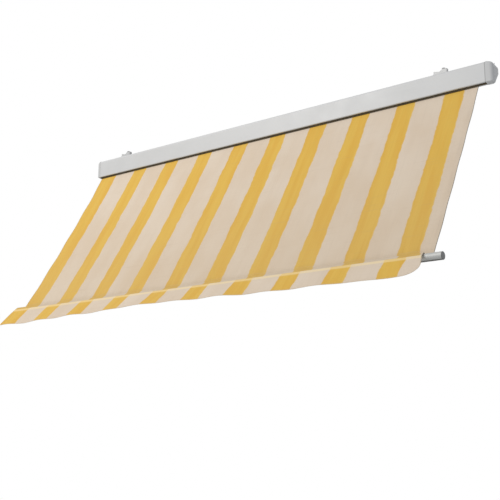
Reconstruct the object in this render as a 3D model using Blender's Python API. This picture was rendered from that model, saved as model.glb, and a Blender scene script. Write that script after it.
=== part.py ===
"""Folding-arm awning with a boxed roller, drawn right out.

Metres, +X along the wall to the right, +Y into the wall, +Z up. The origin is on the wall, half way
between the two wall brackets. Most moving pieces are placed in the slope frame: an empty at the
hood's slot, turned so that its x runs along the wall, its y up the cloth and its z out of the cloth.
"""

import math

import bmesh
import bpy
from mathutils import Vector

# Clearances
GAP = 0.0003  # between pieces that touch
OVERLAP = 0.002  # how far pieces joined into one reach into each other
RUNNING_GAP = 0.0005  # round a pin in its eye
# Cloth
CLOTH_WIDTH = 2.93
CLOTH_LENGTH = 1.2247  # from the slot to the front bar
CLOTH_THICKNESS = 0.001
CLOTH_SLOPE = math.radians(57.9)
CLOTH_SAG = 0.010
CLOTH_ROWS = 8
SLOT_LEAD = 0.020  # flat run of cloth behind the slot
STRIPE_PITCH = 0.300
STRIPE_WIDTH = 0.128
STRIPE_START = 0.075  # cream strip before the first yellow one, from the right edge
STRIPE_COUNT = math.ceil((CLOTH_WIDTH - STRIPE_START) / STRIPE_PITCH)
# Cassette section, in y and z
SLOT_Y = -0.095
SLOT_Z = -0.1336
HOOD_FRONT_Y = -0.110
HOOD_TOP_Z = 0.002
LIP_Z = -0.121
LIP_ROUND = 0.005
LIP_INNER_ROUND = 0.0028
TOP_ROUND = 0.014
EDGE_ROUND = 0.006
BACK_ROUND = 0.016
PAN_ROUND = 0.010
LIP_DEPTH = 0.0105
LIP_RETURN = 0.0075
HOOD_WALL = 0.0025
HOOD_SPLIT_Y = -0.048
TOP_FALL = 0.010  # how far the top slopes down to its back edge
BACK_Y = -0.020
BACK_LOW_Z = -0.056
BACK_WALL = 0.003
PAN_BACK_Y = -0.070
PAN_Z = -0.125
PAN_FRONT_Y = -0.083
PAN_LIP = 0.007
RAIL_TOP_Z = -0.020
RAIL_HEIGHT = 0.014
RAIL_DEPTH = 0.009
SEAL_WIDTH = 0.0028
SEAL_HEIGHT = 0.017
SEAL_ROUND = 0.0012
# Cassette ends
IDLER_ROOM = 0.007  # past the cloth's left edge
DRIVE_ROOM = 0.047  # past its right edge, for the drive
LEFT_END_X = -(CLOTH_WIDTH / 2 + IDLER_ROOM)
RIGHT_END_X = CLOTH_WIDTH / 2 + DRIVE_ROOM
PLATE_THICKNESS = 0.004
RIGHT_CAP_LENGTH = 0.044
LEFT_CAP_LENGTH = 0.028
CAP_WALL = 0.003
CAP_PROUD = 0.0015
CAP_ROUND = 0.018
CAP_EDGE = 0.0015  # least rounding of a cap's corners
CAP_LEVEL = 0.008  # how far a cap runs level before its top falls
CAP_FALL = 0.012
# Roller
TUBE_RADIUS = 0.025
TUBE_WALL = 0.0015
TURNS_THICKNESS = 0.0015
ROLLER_UP = 0.094  # roller centre, up the slope from the slot
TUBE_LEFT_X = -(CLOTH_WIDTH / 2 + 0.0015)
TUBE_RIGHT_X = CLOTH_WIDTH / 2 + 0.0035
KEDER_RADIUS = 0.0025
KEDER_INSET = 0.020  # from the bar's end
MOTOR_LENGTH = 0.52
MOTOR_SHAFT_RADIUS = 0.007
MOTOR_BODY_RADIUS = 0.01435
MOTOR_NOSE_RADIUS = 0.0141
MOTOR_HEAD_RADIUS = 0.0235
MOTOR_HEAD_GAP = 0.0035
CROWN_LENGTH = 0.018
ADAPTER_LENGTH = 0.030
ADAPTER_MARGIN = 0.004
IDLER_LENGTH = 0.060
JOURNAL_RADIUS = 0.006
JOURNAL_BEYOND = 0.004  # past the end plate
IDLER_FLANGE = 0.002
BEARING_RADIUS = 0.013
GLAND_RADIUS = 0.008
GLAND_BORE = 0.0035
GLAND_LENGTH = 0.016
GLAND_PLACE = (-0.0722, -0.0922)  # in y and z
# Wall brackets
BRACKET_INSET = 0.227  # from the cloth's edge to a bracket's middle
BRACKET_X = CLOTH_WIDTH / 2 - BRACKET_INSET
BRACKET_WIDTH = 0.080
BRACKET_TOP_Z = 0.040
BRACKET_BOTTOM_Z = -0.085
BRACKET_PLATE = 0.008
BRACKET_ARM = 0.007
BRACKET_REACH_Y = -0.092
HOOK_DEPTH = 0.006
HOOK_TAPER = 0.006
HOOK_EASE = 0.004
BOLT_RADIUS = 0.004
BOLT_SPACING = 0.044
BOLT_Z = 0.026
BOLT_HEAD_RADIUS = 0.0075
BOLT_HEAD_HEIGHT = 0.005
BOLT_EDGE = 0.003  # metal left clear beside a bolt head or a jaw
JAW_HEIGHT = 0.024
JAW_DEPTH = 0.022
JAW_Y = -0.073
JAW_SHOULDER = (0.30, 1.0)  # shares of its half width and of its height
JAW_WAIST = (-0.12, 0.50)
JAW_TIP = 0.82  # height of its far end
CLAMP_SCREW_X = 0.018
CLAMP_HEAD_RADIUS = 0.0105
CLAMP_HEAD_HEIGHT = 0.007
# Arms, in the slope frame
ARM_ANGLE = math.radians(68.4)  # between an arm and the bar when drawn out
ARM_WIDTH = 0.036
ARM_HEIGHT = 0.030
ARM_WALL = 0.0025
ARM_ROUND = 0.006
ARM_INNER_ROUND = 0.004
ARM_DEPTH = 0.052  # below the cloth
SHOULDER_INSET = 0.270  # from the cloth's edge to a shoulder's pivot
SHOULDER_X = CLOTH_WIDTH / 2 - SHOULDER_INSET
SHOULDER_UP = 0.0
ELBOW_OFFSET = 0.020
EYE_RADIUS = 0.017
EYE_HALF = 0.0085
EYE_INSET = 0.003  # of the eye's root from the sides of its body
PLUG_ROUND = 0.0045
PIN_RADIUS = 0.006
PIN_HEAD_RADIUS = 0.009
PIN_HEAD_HEIGHT = 0.0025
BORE_REACH = 0.020  # of the tool that bores an eye, from its middle plane
FITTING_REACH = 0.023  # from a pivot to the end of the arm's tube
FITTING_PLUG = 0.045
BODY_START = 0.0195  # from a pivot to the body of an end piece
WEB_THICKNESS = 0.008
WEB_HALF = 0.015
WEB_CLEARANCE = 0.0015
WEB_INSET = 0.001
HEAD_INNER = 0.017
HEAD_FOOT = 0.0165  # underside of a bracket's head above the arm's middle plane
FOOT_GAP = 0.0004
FOOT_INSET = (0.008, 0.012)  # of the shoulder's foot from the ends of the cassette's underside
HEAD_RISE = 0.006
SHOULDER_FRONT = 0.004  # reach of the shoulder's head in front of its pivot
CRADLE_ANGLES = (-150, -30)  # of the wrist's cradle round the front bar
CRADLE_LIP = 0.0035
SPRING_RADIUS = 0.009
SPRING_WIRE = 0.0016
SPRING_TURNS = 9
SPRING_LENGTH = 0.36
SPRING_LEAD = 0.020  # straight wire before the coil
SPRING_BEND = 0.008
# Front bar
BAR_RADIUS = 0.020
BAR_BORE = 0.0115
BORE_SHIFT = (-0.0035, -0.0035)  # away from the grooves
BAR_SPARE = 0.048  # bar past each side of the cloth
BAR_LENGTH = CLOTH_WIDTH + 2 * BAR_SPARE
BAR_BEYOND = 0.021  # bar centre past the cloth's end
BAR_PLUG_LENGTH = 0.030
BAR_PLUG_FLANGE = 0.004
BAR_PLUG_EASE = 0.002
GROOVE_RADIUS = 0.0032
GROOVE_MOUTH = 0.0026
GROOVE_SINK = 0.0012  # wall left outside a keder groove
VALANCE_GROOVE = math.radians(50)
# Valance, its section measured from the bar's centre in world y and z
VALANCE_WIDTH = CLOTH_WIDTH
VALANCE_SHIFT = -0.040
VALANCE_THICKNESS = 0.001
VALANCE_RIDGE = (-0.033, 0.0125)
VALANCE_LIFT = 0.007  # how far it stands off the bar at its groove
VALANCE_PLAIN = 0.30  # share of its drop that has no waves
VALANCE_HEM = (-0.122, -0.089)
WAVE_LENGTH = 0.33
WAVE_HEIGHT = 0.007
WAVE_GROWTH = 1.4  # power by which the waves grow towards the hem
LONG_WAVE_SHARE = 0.45
LONG_WAVE_RATIO = 1.7
WAVE_ROWS = 3
WAVE_PARTS = 2  # columns in each stripe
ARC_STEP = math.radians(22)  # between the points of a rounded corner

WALL_METAL = ("brackets", (0.62, 0.62, 0.61), 0.45, 0.6)
CASSETTE_PAINT = ("cassette_paint", (0.64, 0.64, 0.63), 0.38, 0.0)
ARM_PAINT = ("arm_paint", (0.60, 0.60, 0.59), 0.40, 0.0)
MOULDED = ("moulded_ends", (0.52, 0.52, 0.51), 0.50, 0.0)
BARE_STEEL = ("steel", (0.48, 0.48, 0.49), 0.32, 1.0)
ZINC_TUBE = ("zinc_tube", (0.55, 0.56, 0.57), 0.40, 0.9)
BLACK_PLASTIC = ("black_plastic", (0.03, 0.03, 0.03), 0.55, 0.0)
SEAL_RUBBER = ("seal_rubber", (0.05, 0.05, 0.05), 0.75, 0.0)
YELLOW_CLOTH = ("yellow_cloth", (0.72, 0.42, 0.08), 0.85, 0.0)
CREAM_CLOTH = ("cream_cloth", (0.68, 0.57, 0.42), 0.85, 0.0)


# Scene, materials and placing


def clear_scene():
    for obj in list(bpy.data.objects):
        bpy.data.objects.remove(obj)


def material(finish):
    """The Principled material of one finish, made once."""
    name, colour, roughness, metallic = finish
    found = bpy.data.materials.get(name)
    if found:
        return found
    made = bpy.data.materials.new(name)
    made.use_nodes = True
    shader = made.node_tree.nodes["Principled BSDF"]
    shader.inputs["Base Color"].default_value = (*colour, 1)
    shader.inputs["Roughness"].default_value = roughness
    shader.inputs["Metallic"].default_value = metallic
    made.diffuse_color = (*colour, 1)
    return made


def empty(name, location=(0, 0, 0), turn=(0, 0, 0), parent=None):
    made = bpy.data.objects.new(name, None)
    made.empty_display_size = 0.05
    made.location = location
    made.rotation_euler = turn
    made.parent = parent
    bpy.context.collection.objects.link(made)
    return made


def add(name, mesh, finish, location=(0, 0, 0), turn=(0, 0, 0), parent=None):
    """A named object from a mesh, with one finish, placed under its parent."""
    mesh.name = name
    made = bpy.data.objects.new(name, mesh)
    if not mesh.materials:
        mesh.materials.append(material(finish))
    made.location = location
    made.rotation_euler = turn
    made.parent = parent
    bpy.context.collection.objects.link(made)
    return made


def mesh_of(shape):
    """A mesh from a bmesh, its doubles merged, faces out, shaded smooth up to a sharp angle."""
    bmesh.ops.remove_doubles(shape, verts=shape.verts, dist=1e-6)
    bmesh.ops.recalc_face_normals(shape, faces=shape.faces)
    mesh = bpy.data.meshes.new("shape")
    shape.to_mesh(mesh)
    shape.free()
    mesh.shade_smooth()
    mesh.set_sharp_from_angle(angle=math.radians(35))
    return mesh


def cut(obj, cutter, operation="DIFFERENCE"):
    """Cuts or joins with a helper mesh, which is placed as the object is and left out of renders."""
    helper = add(f"{obj.name}_tool", cutter, BARE_STEEL, obj.location, obj.rotation_euler, obj.parent)
    helper.hide_render = True
    helper.display_type = "WIRE"
    change = obj.modifiers.new(operation.lower(), "BOOLEAN")
    change.operation = operation
    change.solver = "EXACT"
    change.object = helper


# Outlines


def round_corner(before, corner, after, radius):
    """Points of an arc of this radius that touches both runs that meet at the corner."""
    corner = Vector(corner)
    back = (Vector(before) - corner).normalized()
    ahead = (Vector(after) - corner).normalized()
    half = back.angle(ahead) / 2
    reach = radius / math.tan(half)
    centre = corner + (back + ahead).normalized() * radius / math.sin(half)
    start = corner + back * reach - centre
    turn = (corner + ahead * reach - centre).angle_signed(start)
    steps = max(2, round(abs(turn) / ARC_STEP))
    points = []
    for i in range(steps + 1):
        angle = math.atan2(start.y, start.x) + turn * i / steps
        points.append(centre + Vector((math.cos(angle), math.sin(angle))) * radius)
    return points


def rounded(corners, closed=False):
    """A path through corners given as (a, b, radius), each turned into an arc."""
    path = []
    last = len(corners) - 1
    for i, (a, b, radius) in enumerate(corners):
        if radius and (closed or 0 < i < last):
            before = corners[i - 1][:2]
            after = corners[(i + 1) % len(corners)][:2]
            path += round_corner(before, (a, b), after, radius)
        else:
            path.append(Vector((a, b)))
    return path


def shifted(path, distance, closed=False):
    """The path moved to its right-hand side by this distance, mitred at each point."""
    moved = []
    for i, point in enumerate(path):
        before = path[i - 1] if i or closed else None
        after = path[(i + 1) % len(path)] if i + 1 < len(path) or closed else None
        runs = []
        if before is not None:
            runs.append((point - before).normalized())
        if after is not None:
            runs.append((after - point).normalized())
        sides = [Vector((run.y, -run.x)) for run in runs]
        mitre = sum(sides, Vector((0, 0))).normalized()
        moved.append(point + mitre * distance / mitre.dot(sides[0]))
    return moved


def wall_outline(corners, thickness):
    """The closed outline of a wall whose outer face follows the corners."""
    path = rounded(corners)
    return path + shifted(path, thickness)[::-1]


def circle(radius, sides=20, centre=(0, 0), turn=0.0):
    step = 2 * math.pi / sides
    angles = [turn + i * step for i in range(sides)]
    return [Vector(centre) + Vector((math.cos(a), math.sin(a))) * radius for a in angles]


def rectangle(low, high, radius=0.0):
    corners = [(low[0], low[1]), (high[0], low[1]), (high[0], high[1]), (low[0], high[1])]
    return rounded([(a, b, radius) for a, b in corners], closed=True)


def hull(points):
    """The convex outline round these points, anticlockwise."""
    ordered = sorted((p[0], p[1]) for p in points)
    halves = []
    for run in (ordered, ordered[::-1]):
        half = []
        for p in run:
            while len(half) > 1 and turn_of(half[-2], half[-1], p) <= 1e-12:
                half.pop()
            half.append(p)
        halves.append(half[:-1])
    return [Vector(p) for p in halves[0] + halves[1]]


def turn_of(a, b, c):
    return (b[0] - a[0]) * (c[1] - a[1]) - (b[1] - a[1]) * (c[0] - a[0])


# Solids


def slab(outlines, low, high):
    """A solid between two heights along z from closed outlines in x and y, the first one outermost."""
    curve = bpy.data.curves.new("outline", "CURVE")
    curve.dimensions = "2D"
    curve.fill_mode = "BOTH"
    curve.extrude = (high - low) / 2
    for outline in outlines:
        spline = curve.splines.new("POLY")
        spline.points.add(len(outline) - 1)
        for point, place in zip(spline.points, outline):
            point.co = (place[0], place[1], 0, 1)
        spline.use_cyclic_u = True
    holder = bpy.data.objects.new("outline", curve)
    mesh = bpy.data.meshes.new_from_object(holder)
    bpy.data.objects.remove(holder)
    bpy.data.curves.remove(curve)
    mesh.materials.clear()
    shape = bmesh.new()
    shape.from_mesh(mesh)
    bpy.data.meshes.remove(mesh)
    bmesh.ops.translate(shape, verts=shape.verts, vec=(0, 0, (low + high) / 2))
    return mesh_of(shape)


def along_x(mesh):
    """Turns a slab so that its outline lies in y and z and its height runs along x."""
    for vertex in mesh.vertices:
        x, y, z = vertex.co
        vertex.co = (z, x, y)
    return mesh


def section(outlines, low, high):
    return along_x(slab(outlines, low, high))


def turned(profile, sides=20):
    """A solid turned about x from (x, radius) points that start and end on the axis."""
    shape = bmesh.new()
    rings = []
    for x, radius in profile:
        if radius == 0:
            rings.append([shape.verts.new((x, 0, 0))])
            continue
        rings.append([shape.verts.new((x, p.x, p.y)) for p in circle(radius, sides)])
    for first, second in zip(rings, rings[1:]):
        for i in range(sides):
            j = (i + 1) % sides
            corners = [first[i % len(first)], first[j % len(first)]]
            corners += [second[j % len(second)], second[i % len(second)]]
            shape.faces.new(list(dict.fromkeys(corners)))
    return mesh_of(shape)


def moved(mesh, offset):
    for vertex in mesh.vertices:
        vertex.co = vertex.co + Vector(offset)
    return mesh


def standing(mesh):
    """Turns a mesh so that what ran along x runs along z."""
    for vertex in mesh.vertices:
        x, y, z = vertex.co
        vertex.co = (y, z, x)
    return mesh


def pointing_out(mesh):
    """Turns a mesh so that what ran along x runs out of the wall, along -y."""
    for vertex in mesh.vertices:
        x, y, z = vertex.co
        vertex.co = (y, -x, z)
    return mesh


def block(low, high):
    return slab([rectangle(low[:2], high[:2])], low[2], high[2])


# Places worked out from the sizes

SLOPE_ORIGIN = (0, SLOT_Y, SLOT_Z)
UP = Vector((math.cos(CLOTH_SLOPE), math.sin(CLOTH_SLOPE)))
OUT = Vector((-math.sin(CLOTH_SLOPE), math.cos(CLOTH_SLOPE)))
WOUND_RADIUS = TUBE_RADIUS + TURNS_THICKNESS
TUBE_GROOVE_AT = TUBE_RADIUS - GROOVE_RADIUS - TUBE_WALL
TUBE_INSIDE = TUBE_GROOVE_AT - GROOVE_RADIUS - TUBE_WALL - GAP  # clear of the groove's wall
BAR_GROOVE_AT = BAR_RADIUS - GROOVE_RADIUS - GROOVE_SINK
BAR_UP = -(CLOTH_LENGTH + BAR_BEYOND)
WRIST_UP = BAR_UP
STROKE = SHOULDER_UP - WRIST_UP
ARM_LENGTH = STROKE / (2 * math.sin(ARM_ANGLE))  # from pivot to pivot
EAR_HALF = ARM_HEIGHT / 2
TOP_SLOPE = TOP_FALL / (BACK_Y - HOOD_FRONT_Y)


def in_section(up, out):
    """World y and z of a place given up the slope and out of the cloth."""
    place = Vector((SLOT_Y, SLOT_Z)) + UP * up + OUT * out
    return place


def in_slope(y, z):
    """Up and out in the slope frame of a place given in world y and z."""
    place = Vector((y - SLOT_Y, z - SLOT_Z))
    return place.dot(UP), place.dot(OUT)


def top_z(y):
    """Height of the cassette's top at this depth."""
    return HOOD_TOP_Z - TOP_SLOPE * (y - HOOD_FRONT_Y)


ROLLER = in_section(ROLLER_UP, WOUND_RADIUS + CLOTH_THICKNESS / 2 + GAP)
BAR = in_section(BAR_UP, 0)


# Cassette


def hood_corners():
    inner_y = HOOD_FRONT_Y + LIP_DEPTH
    return [
        (inner_y, LIP_Z + LIP_RETURN, 0),
        (inner_y, LIP_Z, LIP_INNER_ROUND),
        (HOOD_FRONT_Y, LIP_Z, LIP_ROUND),
        (HOOD_FRONT_Y, HOOD_TOP_Z, TOP_ROUND),
        (HOOD_SPLIT_Y, top_z(HOOD_SPLIT_Y), 0),
    ]


def back_corners():
    rail_y = BACK_Y + RAIL_DEPTH
    return [
        (HOOD_SPLIT_Y + GAP, top_z(HOOD_SPLIT_Y + GAP), 0),
        (BACK_Y, top_z(BACK_Y), EDGE_ROUND),
        (BACK_Y, RAIL_TOP_Z, 0),
        (rail_y, RAIL_TOP_Z, 0),
        (rail_y, RAIL_TOP_Z - RAIL_HEIGHT, 0),
        (BACK_Y, RAIL_TOP_Z - RAIL_HEIGHT, 0),
        (BACK_Y, BACK_LOW_Z, BACK_ROUND),
        (PAN_BACK_Y, PAN_Z, PAN_ROUND),
        (PAN_FRONT_Y, PAN_Z, 0),
        (PAN_FRONT_Y, PAN_Z + PAN_LIP, 0),
    ]


def end_corners():
    """Corners of the cassette's outline as its ends see it."""
    return [
        (HOOD_FRONT_Y, LIP_Z, LIP_ROUND),
        (HOOD_FRONT_Y, HOOD_TOP_Z, TOP_ROUND),
        (BACK_Y, top_z(BACK_Y), EDGE_ROUND),
        (BACK_Y, BACK_LOW_Z, BACK_ROUND),
        (PAN_BACK_Y, PAN_Z, PAN_ROUND),
        (PAN_FRONT_Y, PAN_Z, LIP_ROUND),
    ]


def end_outline(proud):
    """The end's outline grown by this much, or drawn in where it is negative."""
    sharp = shifted([Vector((y, z)) for y, z, _ in end_corners()], -proud, closed=True)
    radii = [max(radius + proud, CAP_EDGE) for _, _, radius in end_corners()]
    return rounded([(p.x, p.y, radius) for p, radius in zip(sharp, radii)], closed=True)


def front_hood():
    mesh = section([wall_outline(hood_corners(), HOOD_WALL)], LEFT_END_X, RIGHT_END_X)
    add("front_hood", mesh, CASSETTE_PAINT)


def back_profile():
    mesh = section([wall_outline(back_corners(), BACK_WALL)], LEFT_END_X, RIGHT_END_X)
    add("back_profile", mesh, CASSETTE_PAINT)


def lip_seal():
    """A soft strip behind the hood's lip, which hangs towards the cloth and sheds its water."""
    low_y = HOOD_FRONT_Y + LIP_DEPTH + GAP
    high_z = LIP_Z + LIP_RETURN
    outline = rectangle((low_y, high_z - SEAL_HEIGHT), (low_y + SEAL_WIDTH, high_z), SEAL_ROUND)
    add("lip_seal", section([outline], LEFT_END_X, RIGHT_END_X), SEAL_RUBBER)


def end_plate(name, low, bore_radius):
    """A plate across one end of the cassette, bored for what it carries of the roller."""
    bore = circle(bore_radius, 20, ROLLER)
    outline = end_outline(CAP_PROUD - CAP_WALL - GAP)
    mesh = section([outline, bore], low, low + PLATE_THICKNESS)
    add(name, mesh, BARE_STEEL)


def lofted(rings):
    """A solid through closed outlines of equal count, each at its own x."""
    shape = bmesh.new()
    loops = [[shape.verts.new((x, p.x, p.y)) for p in outline] for x, outline in rings]
    count = len(loops[0])
    for near, far in zip(loops, loops[1:]):
        for i in range(count):
            j = (i + 1) % count
            shape.faces.new((near[i], near[j], far[j], far[i]))
    shape.faces.new(loops[0][::-1])
    shape.faces.new(loops[-1])
    return mesh_of(shape)


def lowered(outline, fall):
    """The outline with its top moved down by this much and its foot left where it is."""
    foot = min(p.y for p in outline)
    height = max(p.y for p in outline) - foot
    return [Vector((p.x, p.y - fall * (p.y - foot) / height)) for p in outline]


def domed(start, end, proud, rounding):
    """A solid of the cassette's outline from start to end in x, its top falling and its far rim rounded."""
    way = 1 if end > start else -1
    level = start + way * CAP_LEVEL
    rings = [(start, end_outline(proud)), (level, end_outline(proud))]
    steps = 4
    for i in range(steps + 1):
        angle = math.pi / 2 * i / steps
        x = end - way * rounding * (1 - math.sin(angle))
        outline = end_outline(proud - rounding * (1 - math.cos(angle)))
        rings.append((x, lowered(outline, CAP_FALL * (x - level) / (end - level))))
    return lofted(rings)


def end_cap(name, inner_x, length, side):
    """A moulded shell over the end plate, open towards the cassette, rounded towards its outer face."""
    shell = domed(0, side * length, CAP_PROUD, CAP_ROUND)
    cap = add(name, shell, MOULDED, (inner_x, 0, 0))
    hollow_end = side * (length - CAP_WALL)
    cut(cap, domed(-side * CAP_WALL, hollow_end, CAP_PROUD - CAP_WALL, CAP_ROUND - CAP_WALL))


def cassette_ends():
    plate_left = LEFT_END_X - GAP - PLATE_THICKNESS
    plate_right = RIGHT_END_X + GAP
    end_plate("left_end_plate", plate_left, BEARING_RADIUS + GAP)
    end_plate("right_end_plate", plate_right, MOTOR_NOSE_RADIUS)


# Roller


def roller_tube(parent):
    """A thin tube with a round keder groove let into its wall."""
    mouth = math.asin(GROOVE_MOUTH / 2 / TUBE_RADIUS)
    sides = 28
    outer = []
    for i in range(sides + 1):
        angle = mouth + (2 * math.pi - 2 * mouth) * i / sides
        outer.append(Vector((math.cos(angle), math.sin(angle))) * TUBE_RADIUS)
    outer += groove_pocket(TUBE_GROOVE_AT)[::-1]
    inner_gap = math.asin((GROOVE_RADIUS + TUBE_WALL) / (TUBE_RADIUS - TUBE_WALL))
    inner = []
    for i in range(sides + 1):
        angle = inner_gap + (2 * math.pi - 2 * inner_gap) * i / sides
        inner.append(Vector((math.cos(angle), math.sin(angle))) * (TUBE_RADIUS - TUBE_WALL))
    inner += [
        Vector((TUBE_GROOVE_AT, 0)) + Vector((math.cos(a), math.sin(a))) * (GROOVE_RADIUS + TUBE_WALL)
        for a in (math.radians(-120 - 30 * i) for i in range(5))
    ]
    add("roller_tube", section([outer, inner], TUBE_LEFT_X, TUBE_RIGHT_X), ZINC_TUBE, parent=parent)


def groove_pocket(centre, sides=10):
    """Points round a keder groove that opens along +x, from its upper mouth corner to its lower one."""
    start = math.asin(GROOVE_MOUTH / 2 / GROOVE_RADIUS)
    points = []
    for i in range(sides + 1):
        angle = start + (2 * math.pi - 2 * start) * i / sides
        across = Vector((math.cos(angle), math.sin(angle)))
        points.append(Vector((centre, 0)) + across * GROOVE_RADIUS)
    return points


def rod(name, half, place, parent):
    """A keder rod, the cord in a cloth's edge that holds it in its groove."""
    mesh = turned([(-half, 0), (-half, KEDER_RADIUS), (half, KEDER_RADIUS), (half, 0)], 10)
    add(name, moved(mesh, (0, place[0], place[1])), BLACK_PLASTIC, parent=parent)


def cloth_turns(parent):
    """The turns of cloth left on the tube, as one ring."""
    inner = circle(TUBE_RADIUS + GAP, 28)
    outer = circle(WOUND_RADIUS, 28)
    half = CLOTH_WIDTH / 2
    add("cloth_turns", section([outer, inner], -half, half), CREAM_CLOTH, parent=parent)


def idler_end(parent):
    """Plug and journal at the left end, running in a bearing ring held by the left plate."""
    plate_out = LEFT_END_X - GAP - PLATE_THICKNESS
    profile = [
        (plate_out - JOURNAL_BEYOND, 0),
        (plate_out - JOURNAL_BEYOND, JOURNAL_RADIUS),
        (TUBE_LEFT_X - IDLER_FLANGE - GAP, JOURNAL_RADIUS),
        (TUBE_LEFT_X - IDLER_FLANGE - GAP, TUBE_RADIUS - TUBE_WALL),
        (TUBE_LEFT_X - GAP, TUBE_RADIUS - TUBE_WALL),
        (TUBE_LEFT_X - GAP, TUBE_INSIDE),
        (TUBE_LEFT_X + IDLER_LENGTH, TUBE_INSIDE),
        (TUBE_LEFT_X + IDLER_LENGTH, 0),
    ]
    add("idler_plug", turned(profile), BLACK_PLASTIC, parent=parent)


def roller_bearing():
    """A ring in the left plate round the idler journal."""
    low = LEFT_END_X - GAP - PLATE_THICKNESS
    outlines = [circle(BEARING_RADIUS), circle(JOURNAL_RADIUS + RUNNING_GAP)]
    mesh = section(outlines, low, low + PLATE_THICKNESS)
    add("idler_bearing", mesh, BLACK_PLASTIC, (0, *ROLLER))


def drive_end(parent):
    """Tubular motor in the roller: its body stands still, its crown and adapter turn with the tube."""
    head_low = TUBE_RIGHT_X + MOTOR_HEAD_GAP
    motor_low = TUBE_RIGHT_X - MOTOR_LENGTH
    profile = [
        (motor_low, 0),
        (motor_low, MOTOR_SHAFT_RADIUS),
        (motor_low + ADAPTER_LENGTH, MOTOR_SHAFT_RADIUS),
        (motor_low + ADAPTER_LENGTH, MOTOR_BODY_RADIUS),
        (head_low, MOTOR_BODY_RADIUS),
        (head_low, MOTOR_HEAD_RADIUS),
        (RIGHT_END_X, MOTOR_HEAD_RADIUS),
        (RIGHT_END_X, MOTOR_NOSE_RADIUS - GAP),
        (RIGHT_END_X + GAP + PLATE_THICKNESS, MOTOR_NOSE_RADIUS - GAP),
        (RIGHT_END_X + GAP + PLATE_THICKNESS, 0),
    ]
    add("tube_motor", turned(profile), BLACK_PLASTIC, (0, *ROLLER))
    crown = [circle(TUBE_INSIDE), circle(MOTOR_BODY_RADIUS + RUNNING_GAP)]
    add("crown_ring", section(crown, TUBE_RIGHT_X - CROWN_LENGTH, TUBE_RIGHT_X), BLACK_PLASTIC, parent=parent)
    adapter = [circle(TUBE_INSIDE), circle(MOTOR_SHAFT_RADIUS + RUNNING_GAP)]
    low = motor_low + ADAPTER_MARGIN
    high = motor_low + ADAPTER_LENGTH - ADAPTER_MARGIN
    add("drive_adapter", section(adapter, low, high), BLACK_PLASTIC, parent=parent)


def cable_gland():
    """The motor lead's inlet, set in the right cap's inner floor below the roller."""
    outline = [circle(GLAND_RADIUS, 16), circle(GLAND_BORE, 16)]
    low = RIGHT_END_X + GAP + PLATE_THICKNESS + GAP
    add("cable_gland", section(outline, 0, GLAND_LENGTH), BLACK_PLASTIC, (low, *GLAND_PLACE))


# Wall brackets


def bracket_outline():
    """Wall plate, arm over the cassette's top and a low hook under the rail, seen from the end."""
    over = top_z(BACK_Y) + GAP
    reach = BRACKET_REACH_Y
    gusset_y = JAW_Y + JAW_DEPTH / 2 + BOLT_EDGE
    hook_y = BACK_Y + RAIL_DEPTH + GAP
    hook_z = RAIL_TOP_Z - RAIL_HEIGHT - GAP
    return [
        (0, BRACKET_BOTTOM_Z),
        (0, BRACKET_TOP_Z),
        (-BRACKET_PLATE, BRACKET_TOP_Z),
        (-BRACKET_PLATE, BOLT_Z - BOLT_HEAD_RADIUS - BOLT_EDGE),
        (gusset_y, top_z(gusset_y) + GAP + BRACKET_ARM),
        (reach, top_z(reach) + GAP + BRACKET_ARM),
        (reach, top_z(reach) + GAP),
        (BACK_Y, over),
        (hook_y, over - HOOK_EASE),
        (hook_y, hook_z),
        (BACK_Y + GAP, hook_z),
        (BACK_Y + GAP, hook_z - HOOK_DEPTH),
        (-BRACKET_PLATE, hook_z - HOOK_DEPTH - HOOK_TAPER),
        (-BRACKET_PLATE, BRACKET_BOTTOM_Z),
    ]


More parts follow.
